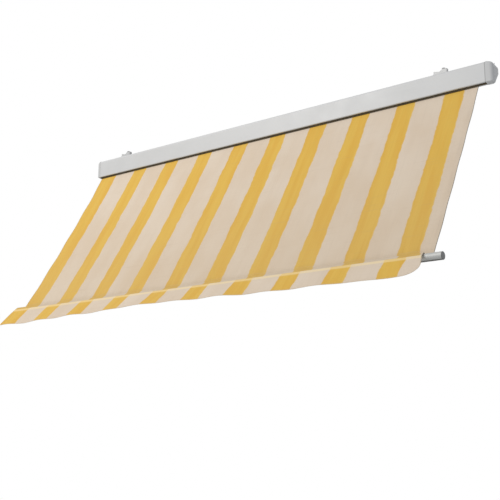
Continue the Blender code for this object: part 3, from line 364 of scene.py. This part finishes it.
def powder_coat(name, colour, roughness, gap_shade_at=None):
    """Satin powder coat: a fine orange-peel skin, faint cloudy tone, dull dust in long streaks. Painted shade
    of the gap to the caps darkens the last millimetres before gap_shade_at on either side."""
    finish = Finish(name, {"Specular IOR Level": 0.45})
    cloud = finish.noise(6, 3)
    dust = finish.noise(14, 4, (0.15, 1, 1))
    peel = finish.noise(420, 2)
    tone = finish.blend(cloud.ramp(0.3, 0.7), darker(colour, 0.97), colour)
    tone = finish.blend(dust.ramp(0.52, 0.78, 0, 0.35), tone, darker(colour, 0.88))
    if gap_shade_at is not None:
        # Painted shade of the gap between the hood and its end caps, on both ends.
        gap_shade = finish.along("X").size().ramp(gap_shade_at - 0.0060, gap_shade_at - 0.0020, 0, 0.7)
        tone = finish.blend(gap_shade, tone, darker(colour, 0.25))
    finish.set("Base Color", tone)
    finish.set("Roughness", cloud.ramp(0.25, 0.75, roughness - 0.05, roughness + 0.07))
    finish.raise_by(peel, 0.00012, 0.6)
    return finish.material


def moulded_plastic(name, colour, roughness, grain=1560):
    """Moulded plastic with a fine spark-eroded grain and a slightly blotchy sheen."""
    finish = Finish(name, {"Specular IOR Level": 0.4})
    cloud = finish.noise(11, 3)
    grains = finish.noise(grain, 2)
    finish.set("Base Color", finish.blend(cloud.ramp(0.3, 0.7), darker(colour, 0.94), colour))
    finish.set("Roughness", cloud.ramp(0.2, 0.8, roughness - 0.06, roughness + 0.08))
    finish.raise_by(grains, 0.00010, 0.5)
    return finish.material


def drawn_metal(name, colour, roughness, metallic, along=(0.02, 1, 1), scale=900, shaded_underside=None):
    """Drawn or brushed metal: fine lines along one direction that vary its tone and gloss. Painted shade
    darkens the bottom, fading out between the two heights of shaded_underside."""
    finish = Finish(name)
    lines = finish.noise(scale, 3, along)
    cloud = finish.noise(9, 3)
    tone = finish.blend(lines.ramp(0.35, 0.65), darker(colour, 0.88), colour)
    tone = finish.blend(cloud.ramp(0.55, 0.8, 0, 0.4), tone, darker(colour, 0.8))
    if shaded_underside is not None:
        # Painted shade along the underside, darkest at the very bottom.
        tone = finish.blend(finish.along("Z").ramp(*shaded_underside, 0.85, 0), tone, UNDERSIDE_SHADE)
    finish.set("Base Color", tone)
    finish.set("Metallic", metallic)
    finish.set("Roughness", lines.ramp(0.3, 0.7, roughness - 0.06, roughness + 0.08))
    finish.raise_by(lines, 0.00005, 0.4)
    return finish.material


def soft_rubber(name, dark, pale):
    """Dull rubber between two tones, with a fine skin."""
    finish = Finish(name, {"Specular IOR Level": 0.3})
    cloud = finish.noise(40, 3)
    finish.set("Base Color", finish.blend(cloud.ramp(0.3, 0.7), dark, pale))
    finish.set("Roughness", cloud.ramp(0.3, 0.7, 0.62, 0.82))
    finish.raise_by(finish.noise(900, 2), 0.0001, 0.4)
    return finish.material


CREAM = (0.720, 0.605, 0.480)
CREAM_DULL = (0.680, 0.550, 0.415)
YELLOW = (0.735, 0.460, 0.080)
YELLOW_DEEP = (0.715, 0.420, 0.065)
CROSS_THREAD = (0.45, 0.33, 0.19)
# Painted shade, darker towards the bottom of the cloth.
LOWER_SHADE = (0.50, 0.36, 0.20)
# Painted highlight along the valance's fold over the bar.
FOLD_HIGHLIGHT = (0.90, 0.71, 0.38)
# Painted shade next to the bar.
BAR_SHADE = (0.36, 0.27, 0.15)
# Painted shade along the cloth's side edges.
EDGE_SHADE = (0.20, 0.18, 0.15)
STITCH_THREAD = (0.62, 0.50, 0.36)
# Painted shade under the bar.
UNDERSIDE_SHADE = (0.050, 0.042, 0.035)
# Depths at which the painted shade towards the bottom would be full on the two sheltered cloths, both beyond
# their own length
VALANCE_SHADED_TO = 0.40
ROLLED_SHADED_TO = 2.0


def stripe_mask(finish, u, uv):
    """1 in a yellow stripe and 0 in a cream one. A border lies where u leaves the repeating pattern, moved to
    and fro by noise, and the last stripe runs on to the edge."""
    wander = finish.noise(7, 2, where=uv) - 0.5
    flutter = finish.noise(26, 2, where=uv) - 0.5
    shifted = u + wander * BORDER_WANDER + flutter * BORDER_FLUTTER
    inside = (shifted - STRIPE_START).wrapped(STRIPE_PITCH)
    block = inside.ramp(0, STRIPE_EDGE) * inside.ramp(STRIPE_WIDTH - STRIPE_EDGE, STRIPE_WIDTH, 1, 0)
    return block.larger(shifted.ramp(LAST_STRIPE, LAST_STRIPE + STRIPE_EDGE))


def stitch_row(distance, along):
    """A row of short dashes along the line where distance is nothing."""
    return distance.size().ramp(0.0004, 0.0009, 1, 0) * (along.wrapped(STITCH_PITCH) < STITCH_LENGTH)


def striped_cloth(name, shaded_to, hem_lines=(), seams=(), bar_shade_from=None, highlight_to=None):
    """Woven acrylic in block stripes. Its UV map is in metres: u from the right-hand edge, v from the top.
    Threads are two sine waves across each other, and stitches run along each hem line and on both sides of
    each seam. Painted shade grows towards the bottom, as far down as shaded_to, and more painted shade
    darkens the cloth past bar_shade_from, next to the bar. Painted shade also runs along both side edges. On
    a valance a painted highlight lies on a fold that ends at highlight_to, and painted shade lies on the part
    over the bar. Over the bar, above that fold, its stripes meet the cloth's, and below it those near the
    right-hand end lean."""
    finish = Finish(name, {"Specular IOR Level": 0.15, "Sheen Weight": 0.15, "Sheen Roughness": 0.5})
    uv = finish.node("ShaderNodeUVMap", uv_map="cloth").outputs["UV"]
    split = finish.node("ShaderNodeSeparateXYZ", {"Vector": uv})
    u = Value(finish, split.outputs["X"])
    v = Value(finish, split.outputs["Y"])
    sides = u.smaller(CLOTH_WIDTH - u)
    if highlight_to is not None:
        over_bar = v < BAR_COVER
        lean = v.ramp(BAR_COVER, LEAN_END) * u.ramp(*LEAN_ACROSS, STRIPE_LEAN, 0)
        u = u + over_bar * COVER_SHIFT - lean
    slub = finish.noise(90, 3, (1, 0.03, 1), uv)
    cross_slub = finish.noise(70, 3, (0.05, 1, 1), uv)
    cloud = finish.noise(3.5, 3, (1, 0.6, 1), uv)
    streak = finish.noise(17, 2, (1, 0.10, 1), uv)

    cream = finish.blend(cloud.ramp(0.3, 0.7), CREAM, CREAM_DULL)
    cream = finish.blend(slub.ramp(0.45, 0.75, 0, 0.22), cream, darker(CREAM, 0.86))
    yellow = finish.blend(streak.ramp(0.38, 0.66), YELLOW, YELLOW_DEEP)
    yellow = finish.blend(slub.ramp(0.45, 0.75, 0, 0.25), yellow, darker(YELLOW, 0.85))
    tone = finish.blend(stripe_mask(finish, u, uv), cream, yellow)
    tone = finish.blend(cross_slub.ramp(0.55, 0.8, 0, 0.14), tone, CROSS_THREAD)
    # Painted shade: the cloth darkens towards the bottom.
    tone = finish.blend(v.ramp(shaded_to * 0.25, shaded_to, 0, 0.16), tone, LOWER_SHADE)
    # Painted shade darkens the cloth next to the bar.
    if bar_shade_from is not None:
        tone = finish.blend(v.ramp(bar_shade_from, shaded_to - 0.008, 0, 0.16), tone, BAR_SHADE)
    if highlight_to is not None:
        # Painted highlight: a pale band along the valance's fold, just before it ends.
        highlight_band = v.ramp(highlight_to - 0.030, highlight_to - 0.020) * v.ramp(highlight_to - 0.010, highlight_to, 1, 0)
        tone = finish.blend(highlight_band * 0.55, tone, FOLD_HIGHLIGHT)
        # Painted shade on the valance where it lies over the bar.
        tone = finish.blend(over_bar * 0.26, tone, BAR_SHADE)
    # Painted shade: a thin dark line along both side edges.
    tone = finish.blend(sides.ramp(0.0012, 0.004, 0.75, 0), tone, EDGE_SHADE)

    turn = 2 * math.pi / THREAD_PITCH
    height = (u * turn).sine() * 0.5 + (v * turn).sine() * 0.5
    height = height * 0.22 + slub * 0.9 + cross_slub * 0.5
    rows = []
    for stitched_at, folded_at in hem_lines:
        rows.append(stitch_row(v - stitched_at, u))
        height = height - (v - folded_at).size().ramp(0.0, 0.004, 1.2, 0)
    for seam in seams:
        near = (u - seam).size()
        rows.append(stitch_row(near - SEAM_STITCH, v))
        height = height + near.ramp(0.0092, 0.0104, 1.6, 0)
    if rows:
        stitches = rows[0]
        for row in rows[1:]:
            stitches = stitches.larger(row)
        tone = finish.blend(stitches * 0.6, tone, STITCH_THREAD)
        height = height - stitches * 1.5
    finish.set("Base Color", tone)
    finish.set("Roughness", slub.ramp(0.3, 0.7, 0.82, 0.95))
    finish.raise_by(height, 0.00022, 0.7)
    return finish.material


# Cloth


def in_world(x, up, out):
    """World places from x and from up and out of the slope frame."""
    y = SLOT[0] + UP[0] * up + OUT[0] * out
    z = SLOT[1] + UP[1] * up + OUT[1] * out
    return np.stack([x, y, z], -1)


def smooth_step(value, low, high):
    """0 up to low and 1 from high on, with a smooth run between."""
    share = np.clip((value - low) / (high - low), 0, 1)
    return share * share * (3 - 2 * share)


def drawn_cloth(material):
    """The drawn cloth. With s from 0 at the slot to 1 at the bar, it sags by a parabola 4 s (1 - s) of 10 mm,
    carries faint long pleats that are a sum of sine waves across it, puckers over its last 110 mm where the
    bar's groove gathers it, and is waisted by 4 mm. Its two side edges droop by a few millimetres over their
    last 30 mm."""
    columns = 441
    rows = 110
    u = np.linspace(0, CLOTH_WIDTH, columns)[None, :]
    up = np.linspace(ROLLER_UP, CLOTH_END, rows)[:, None]
    u, up = np.broadcast_arrays(u, up)
    x = CLOTH_WIDTH / 2 - u
    s = np.clip(up / CLOTH_END, 0, 1)
    free = 4 * s * (1 - s)
    out = -CLOTH_SAG * free
    pleats = np.sin(u * 9.1 + 0.7 * s) + 0.6 * np.sin(u * 21.7 + 1.3 * s + 1) + 0.35 * np.sin(u * 47 + 2.1)
    out = out + PLEAT_HEIGHT * pleats * free
    near_bar = smooth_step(-up, 1.12, 1.19) * (1 - smooth_step(-up, 1.19, 1.222))
    gathers = np.sin(u * 61 + 0.8 * np.sin(u * 13)) + 0.7 * np.sin(u * 97 + 1.7)
    out = out + GATHER_HEIGHT * gathers * near_bar
    side = np.minimum(u, CLOTH_WIDTH - u)
    droop = (1 - smooth_step(side, 0, 0.030)) * smooth_step(s, 0.02, 0.15) * (1 - smooth_step(s, 0.97, 1.0))
    waist = CLOTH_WAIST * free * (1 - smooth_step(side, 0, 0.25))
    out = out - EDGE_DROOP * droop * (1 + 0.5 * np.sin(up * 23))
    x = x - np.sign(x) * waist
    uv = np.stack([u, ROLLER_UP - up], -1)
    piece = mesh_piece("awning_cloth", in_world(x, up, out), grid_faces(rows, columns), uv)
    thicken(piece, CLOTH_THICKNESS)
    dress(piece, material, "cassette")
    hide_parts("main_cloth")
    top = in_world(np.array(0.0), np.array(ROLLER_UP), np.array(0.0))
    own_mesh(piece)


def valance_path(count):
    """Middle line of the valance in world y and z from the bar's centre: out of its groove, over the ridge
    in an arc, then down to the hem. The corners are cut by a quadratic curve each, and the points are
    spread evenly along the whole."""
    along = UP * math.cos(GROOVE_ANGLE) + OUT * math.sin(GROOVE_ANGLE)
    corners = [along * GROOVE_FOOT, along * GROOVE_MOUTH, RIDGE, HEM]
    pieces = [corners[0][None]]
    t = np.linspace(0, 1, 24)[:, None]
    for before, corner, after, reach in zip(corners, corners[1:], corners[2:], CORNER_CUTS):
        start = corner + (before - corner) / np.linalg.norm(before - corner) * reach
        end = corner + (after - corner) / np.linalg.norm(after - corner) * reach
        pieces.append((1 - t) ** 2 * start + 2 * t * (1 - t) * corner + t * t * end)
    pieces.append(corners[-1][None])
    path = np.concatenate(pieces)
    run = np.concatenate([[0], np.cumsum(np.linalg.norm(np.diff(path, axis=0), axis=1))])
    even = np.linspace(0, run[-1], count)
    return np.stack([np.interp(even, run, path[:, 0]), np.interp(even, run, path[:, 1])], -1), run[-1]


def hem_swing(x):
    """How far the hem swings outwards along x: a sum of sine waves."""
    return sum(height * np.sin(2 * np.pi * x / length + start) for height, length, start in HEM_WAVES)


def valance_surface(u, share, path):
    """World places of the valance at distance u from its right edge and share of its length down. Below the
    ridge the hem's swing sets in, and both ends flare to the side."""
    at = share * (len(path) - 1)
    low = np.clip(np.floor(at).astype(int), 0, len(path) - 2)
    part = (at - low)[..., None]
    flat = path[low] * (1 - part) + path[low + 1] * part
    fall = HEM - RIDGE
    drop = np.linalg.norm(fall)
    fall = fall / drop
    outward = np.array([fall[1], -fall[0]])
    down = np.clip((flat - RIDGE) @ fall / drop, 0, 1)
    flare = RIGHT_FLARE * (1 - smooth_step(u, 0, RIGHT_FLARE_END))
    flare = flare - LEFT_FLARE * smooth_step(u, LEFT_FLARE_START, VALANCE_WIDTH)
    x = VALANCE_RIGHT - u + flare * down
    swing = hem_swing(x) * down**SWING_POWER
    place = BAR + flat + outward * swing[..., None]
    return np.stack([x, place[..., 0], place[..., 1]], -1)


def valance_missing_at(u):
    """Length that the rounding of the lower corners takes off the valance at u: a quarter ellipse at each
    end, wide at the right and small at the left."""
    missing = np.zeros_like(u)
    for side, (width, height) in ((u, RIGHT_CORNER), (VALANCE_WIDTH - u, LEFT_CORNER)):
        inside = np.clip(1 - side / width, 0, 1)
        missing = missing + height * (1 - np.sqrt(1 - inside**2))
    return missing


def valance_columns():
    """Distances from the right edge at which the valance has a column of vertices: close together at the
    rounded corners, where they follow 1 - cos, and even between."""
    across_corner = 24
    across_middle = 405
    bend = 1 - np.cos(np.linspace(0, np.pi / 2, across_corner))
    right_end = RIGHT_CORNER[0] * bend
    left_end = VALANCE_WIDTH - LEFT_CORNER[0] * bend[::-1]
    middle = np.linspace(right_end[-1], left_end[0], across_middle)[1:-1]
    return np.concatenate([right_end, middle, left_end])


def valance(material, binding):
    """The valance sheet and the tape sewn round its free edges."""
    rows = 44
    up_side = 12
    path, length = valance_path(120)
    u = valance_columns()
    missing = valance_missing_at(u)
    share = np.linspace(0, 1, rows)[:, None] * (1 - missing / length)[None, :]
    u_grid = np.broadcast_to(u[None, :], share.shape)
    points = valance_surface(u_grid, share, path)
    uv = np.stack([u_grid, share * length], -1)
    piece = mesh_piece("valance_cloth", points, grid_faces(rows, len(u))[:, ::-1], uv)
    thicken(piece, VALANCE_THICKNESS)
    dress(piece, material, "front_bar_body")
    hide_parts("valance")

    edge_u = np.concatenate([np.zeros(up_side), u, np.full(up_side, VALANCE_WIDTH)])
    right_share = np.linspace(TAPE_FROM, (length - missing[0]) / length, up_side + 1)[:-1]
    left_share = np.linspace((length - missing[-1]) / length, TAPE_FROM, up_side + 1)[1:]
    edge_share = np.concatenate([right_share, 1 - missing / length, left_share])
    tape = swept_tube("valance_binding", valance_surface(edge_u, edge_share, path), TAPE_RADIUS)
    dress(tape, binding, "front_bar_body")

    kept = length - missing
    area = float(np.sum((kept[1:] + kept[:-1]) / 2 * np.diff(u)))


def rolled_cloth(material):
    """The cloth left on the roller: a spiral whose radius grows by the same amount each turn. Its length is
    the roller's circumference times the turns, plus pi times that growth times the turns squared."""
    columns = 40
    steps = 200
    angle = np.linspace(0, 2 * np.pi * ROLLED_TURNS, steps)[:, None]
    u = np.linspace(0, CLOTH_WIDTH, columns)[None, :]
    angle, u = np.broadcast_arrays(angle, u)
    radius = ROLLED_RADIUS + TURN_GROWTH * angle / (2 * np.pi)
    x = CLOTH_WIDTH / 2 - u
    y = ROLLER[0] + radius * np.cos(angle)
    z = ROLLER[1] + radius * np.sin(angle)
    length = ROLLED_RADIUS * 2 * math.pi * ROLLED_TURNS + TURN_GROWTH * math.pi * ROLLED_TURNS**2
    uv = np.stack([u, angle / angle.max() * length], -1)
    piece = mesh_piece("rolled_cloth", np.stack([x, y, z], -1), grid_faces(steps, columns), uv)
    thicken(piece, ROLLED_THICKNESS)
    dress(piece, material, "roller")
    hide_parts("cloth_turns")


# Fastenings


def hexagon(angle):
    """Radius of a hexagon with rounded corners over its radius across flats, by angle."""
    sharp = 1 / np.cos((angle + np.pi / 6) % (np.pi / 3) - np.pi / 6)
    return 0.25 + 0.75 * sharp


def shank_points(foot, top):
    """A turned shank from foot to top, its foot bevelled."""
    narrow, rise = SHANK_BEVEL
    bevel = [(SHANK_RADIUS - narrow, foot), (SHANK_RADIUS, foot + rise)]
    return turned_points([(0, foot), *bevel, (SHANK_RADIUS, top), (0, top)])


def joined_grids(grids):
    """Points and faces of several grids in one mesh. Each is given as its points and whether its rows wrap,
    and all are turned, so their columns wrap."""
    points = []
    faces = []
    start = 0
    for grid, wrap_rows in grids:
        rows, columns = grid.shape[:2]
        points.append(grid.reshape(-1, 3))
        faces.append(grid_faces(rows, columns, wrap_rows=wrap_rows, wrap_columns=True) + start)
        start += rows * columns
    return np.concatenate(points), np.concatenate(faces)


def hex_bolt(name, centre):
    """A hexagon bolt with its washer, standing out of the wall at centre: turned profiles, the head's radius
    following a hexagon and its top edge drawn in to a bevel."""
    washer = turned_points(WASHER_PROFILE)
    head = turned_points(BOLT_HEAD_PROFILE, hexagon)
    shank = shank_points(-BOLT_SEAT, BOLT_SHANK_TOP)
    points, faces = joined_grids([(washer, True), (head, False), (shank, False)])
    points = points + np.array([0, 0, BOLT_SEAT])
    points = np.stack([points[:, 0], -points[:, 2], points[:, 1]], -1) + np.asarray(centre)
    return weld(mesh_piece(name, points, faces, smooth=False))


def knob_screw(name, centre, foot, seat):
    """A round-headed screw with a hexagon socket, standing on foot, its head over seat: a turned profile
    with a rounded rim, whose socket wall follows a hexagon."""
    top = seat + KNOB_HEIGHT
    round_from = top - KNOB_RIM
    floor_at = top - SOCKET_DEPTH
    edge = [(KNOB_RADIUS - KNOB_EDGE, seat), (KNOB_RADIUS, seat + KNOB_EDGE), (KNOB_RADIUS, round_from)]
    bend = np.linspace(0, np.pi / 2, 6)[1:]
    rim = [(KNOB_RADIUS - KNOB_RIM * (1 - math.cos(b)), round_from + KNOB_RIM * math.sin(b)) for b in bend]
    head = turned_points([(0, seat), *edge, *rim, (SOCKET_RADIUS + 0.0006, top)])
    wall = [(SOCKET_RADIUS + 0.0002, top), (SOCKET_RADIUS, top - 0.0004), (SOCKET_RADIUS, floor_at)]
    socket = turned_points([*wall, (0, floor_at)], hexagon)
    shank = shank_points(foot, seat)
    points, faces = joined_grids([(shank, False), (np.concatenate([head, socket]), False)])
    points = points + np.array([centre.x, centre.y, 0])
    return weld(mesh_piece(name, points, faces, smooth=False))


def screw_with_recess(name, centre, material):
    """A pan-head screw let into a moulded end, its head a flat dome with a cross recess, facing +x or -x."""
    side = 1 if centre[0] > 0 else -1
    rings = np.linspace(0, 1, 22)
    angle = np.linspace(0, 2 * np.pi, 64, endpoint=False)
    r, a = np.meshgrid(rings, angle, indexing="ij")
    dome = CAP_SCREW_DOME * (1 - r**2)
    across = np.minimum(np.abs(r * np.cos(a)), np.abs(r * np.sin(a)))
    cross = (across < RECESS_WIDTH) & (r < RECESS_REACH)
    x = centre[0] + side * np.where(cross, -RECESS_DEPTH, dome)
    y = centre[1] + CAP_SCREW_RADIUS * r * np.cos(a)
    z = centre[2] + CAP_SCREW_RADIUS * r * np.sin(a)
    faces = grid_faces(len(rings), len(angle), wrap_columns=True)
    faces = faces if side > 0 else faces[:, ::-1]
    piece = weld(mesh_piece(name, np.stack([x, y, z], -1), faces, smooth=False))
    dress(piece, material, "cassette")


# The finishes

bar_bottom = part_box("front_bar")[0].z
# Heights over which the bar's painted underside shade fades out.
bar_shaded_underside = (bar_bottom + 0.0015, bar_bottom + 0.0055)
hood_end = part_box("front_hood")[1].x
EVEN = (1, 1, 1)

hood_coat = powder_coat("hood_powder_coat", (0.590, 0.590, 0.585), 0.42, hood_end)
arm_coat = powder_coat("arm_powder_coat", (0.600, 0.600, 0.590), 0.44)
bracket_metal = drawn_metal("cast_bracket", (0.480, 0.480, 0.475), 0.50, 0.25, EVEN, 240)
cap_plastic = moulded_plastic("cap_plastic", (0.545, 0.545, 0.540), 0.50)
bar_plug_plastic = moulded_plastic("bar_plug_plastic", (0.170, 0.170, 0.170), 0.50)
bar_coat = drawn_metal("bar_finish", (0.500, 0.500, 0.480), 0.50, 0.20, shaded_underside=bar_shaded_underside)
zinc_steel = drawn_metal("zinc_steel", (0.480, 0.480, 0.490), 0.34, 0.95, EVEN, 300)
screw_steel = drawn_metal("dulled_steel", (0.200, 0.200, 0.200), 0.45, 0.7, EVEN, 300)
galvanised = drawn_metal("galvanised_tube", (0.550, 0.560, 0.570), 0.42, 0.9)
black_plastic = moulded_plastic("black_plastic", (0.028, 0.028, 0.028), 0.55)
# A real rubber seal, its dark colour warmed to brown as painted shade: the tone of the yellow cloth in shadow
# in the slot.
slot_shade_rubber = soft_rubber("lip_rubber_slot_shade", (0.040, 0.030, 0.016), (0.085, 0.062, 0.028))
binding_tape = moulded_plastic("binding_tape", (0.66, 0.53, 0.38), 0.85, 3000)

cloth_hem = (CLOTH_LENGTH - 0.030, CLOTH_LENGTH - 0.026)
valance_hem = (0.171, 0.173)
# Where the painted shade next to the bar begins on the cloth.
bar_shade_start = CLOTH_LENGTH - 0.055
cloth_weave = striped_cloth("awning_weave", CLOTH_LENGTH, [cloth_hem], SEAMS, bar_shade_from=bar_shade_start)
valance_weave = striped_cloth("valance_weave", VALANCE_SHADED_TO, [valance_hem], SEAMS, highlight_to=FOLD_END)
plain_weave = striped_cloth("rolled_weave", ROLLED_SHADED_TO)

node_finishes = [
    (hood_coat, ["front_hood", "back_profile"]),
    (slot_shade_rubber, ["lip_seal"]),
    (zinc_steel, ["left_end_plate", "right_end_plate"]),
    (cap_plastic, ["right_end_cap", "left_end_cap"]),
    (galvanised, ["roller_tube"]),
    (bar_coat, ["front_bar"]),
    (bar_plug_plastic, ["right_bar_plug", "left_bar_plug"]),
    (black_plastic, ["idler_bearing", "tube_motor", "cable_gland", "idler_plug", "crown_ring"]),
    (black_plastic, ["drive_adapter", "roller_keder", "cloth_keder", "valance_keder"]),
]
paired_finishes = [
    (bracket_metal, ["wall_bracket", "clamp_jaw"]),
    (zinc_steel, ["shoulder_pin", "elbow_pin", "wrist_pin", "arm_spring"]),
    (arm_coat, ["shoulder_bracket", "shoulder_eye", "upper_arm", "elbow_fork"]),
    (arm_coat, ["elbow_eye", "forearm", "wrist_eye", "wrist_bracket"]),
]
for material, names in paired_finishes:
    for side_name in ("right", "left"):
        node_finishes.append((material, [f"{side_name}_{name}" for name in names]))
for material, names in node_finishes:
    for name in names:
        for slot in nodes[name].material_slots:
            slot.material = material

# The pieces

drawn_cloth(cloth_weave)
valance(valance_weave, binding_tape)
rolled_cloth(plain_weave)

for side_name in ("right", "left"):
    for number in (1, 2):
        bolt_node = f"{side_name}_wall_bolt_{number}"
        low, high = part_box(bolt_node)
        centre = (low + high) / 2
        bolt = hex_bolt(f"{bolt_node}_hex", (centre.x, 0, centre.z))
        dress(bolt, zinc_steel, "cassette")
        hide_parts(bolt_node)
    screw_node = f"{side_name}_clamp_screw"
    low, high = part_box(screw_node)
    screw = knob_screw(f"{screw_node}_knob", (low + high) / 2, low.z, high.z - KNOB_DROP)
    dress(screw, screw_steel, "cassette")
    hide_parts(screw_node)

right_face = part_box("right_end_cap")[1].x + CAP_SCREW_PROUD
left_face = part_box("left_end_cap")[0].x - CAP_SCREW_PROUD
for number, (y, z) in enumerate(CAP_SCREW_PLACES, 1):
    screw_with_recess(f"right_cap_screw_{number}", (right_face, y, z), zinc_steel)
    screw_with_recess(f"left_cap_screw_{number}", (left_face, y, z), zinc_steel)

# Floor, world, lights and camera

FLOOR_LEVEL = -3.1
LIT_POINT = (0, -0.4, -0.6)
CAMERA_PLACE = (3.255, -4.543, -2.033)
CAMERA_FORWARD = (-0.5889, 0.7810, 0.2090)
CAMERA_RIGHT = (0.7985, 0.6020, 0)
IMAGE_PIXELS = 500
FOCAL_PIXELS = 902
SENSOR_WIDTH = 36


def seen_white(tree, plain, white):
    """A shader that camera, glossy and transmission rays see as white and every other ray as plain."""
    path = tree.nodes.new("ShaderNodeLightPath")
    mixed = plain
    for ray in ("Is Camera Ray", "Is Glossy Ray", "Is Transmission Ray"):
        mix = tree.nodes.new("ShaderNodeMixShader")
        tree.links.new(path.outputs[ray], mix.inputs[0])
        tree.links.new(mixed, mix.inputs[1])
        tree.links.new(white, mix.inputs[2])
        mixed = mix.outputs[0]
    return mixed


world = bpy.data.worlds.new("studio")
bpy.context.scene.world = world
world.use_nodes = True
tree = world.node_tree
plain_sky = tree.nodes["Background"]
plain_sky.inputs["Color"].default_value = (0.92, 0.95, 1.0, 1)
plain_sky.inputs["Strength"].default_value = 0.46
white_sky = tree.nodes.new("ShaderNodeBackground")
white_sky.inputs["Strength"].default_value = 1.0
white_sky.inputs["Color"].default_value = (1, 1, 1, 1)
sky = seen_white(tree, plain_sky.outputs[0], white_sky.outputs[0])
tree.links.new(sky, tree.nodes["World Output"].inputs[0])

floor_corners = [(x, y, FLOOR_LEVEL) for x, y in ((-4.5, -4.2), (4.5, -4.2), (4.5, 3.8), (-4.5, 3.8))]
floor_mesh = bpy.data.meshes.new("floor")
floor_mesh.from_pydata(floor_corners, [], [(0, 1, 2, 3)])
floor = bpy.data.objects.new("floor", floor_mesh)
bpy.context.collection.objects.link(floor)
floor_finish = Finish("pale_floor")
floor_tone = floor_finish.noise(0.4, 2)
floor_finish.set("Base Color", floor_finish.blend(floor_tone, (0.83, 0.83, 0.82), (0.86, 0.86, 0.85)))
floor_finish.set("Roughness", 0.9)
floor_mesh.materials.append(floor_finish.material)


def area_light(name, place, size, power, colour):
    """A round lamp that shines from its place on the middle of the awning."""
    data = bpy.data.lights.new(name, "AREA")
    data.shape = "DISK"
    data.size = size
    data.energy = power
    data.color = colour
    lamp = bpy.data.objects.new(name, data)
    lamp.location = place
    lamp.rotation_euler = (Vector(LIT_POINT) - Vector(place)).to_track_quat("-Z", "Y").to_euler()
    bpy.context.collection.objects.link(lamp)


area_light("key", (-2.6, -5.2, 3.2), 3.0, 262, (1.0, 0.985, 0.96))
area_light("fill", (4.2, -4.6, 0.6), 3.5, 34, (0.94, 0.97, 1.0))

camera_data = bpy.data.cameras.new("camera")
camera_data.lens = FOCAL_PIXELS * SENSOR_WIDTH / IMAGE_PIXELS
camera_data.sensor_width = SENSOR_WIDTH
camera = bpy.data.objects.new("camera", camera_data)
bpy.context.collection.objects.link(camera)
forward = Vector(CAMERA_FORWARD).normalized()
right = Vector(CAMERA_RIGHT).normalized()
upward = right.cross(forward)
turned = Matrix((right, upward, -forward)).transposed()
camera.matrix_world = Matrix.Translation(CAMERA_PLACE) @ turned.to_4x4()
bpy.context.scene.camera = camera
bpy.context.scene.view_settings.view_transform = "Standard"
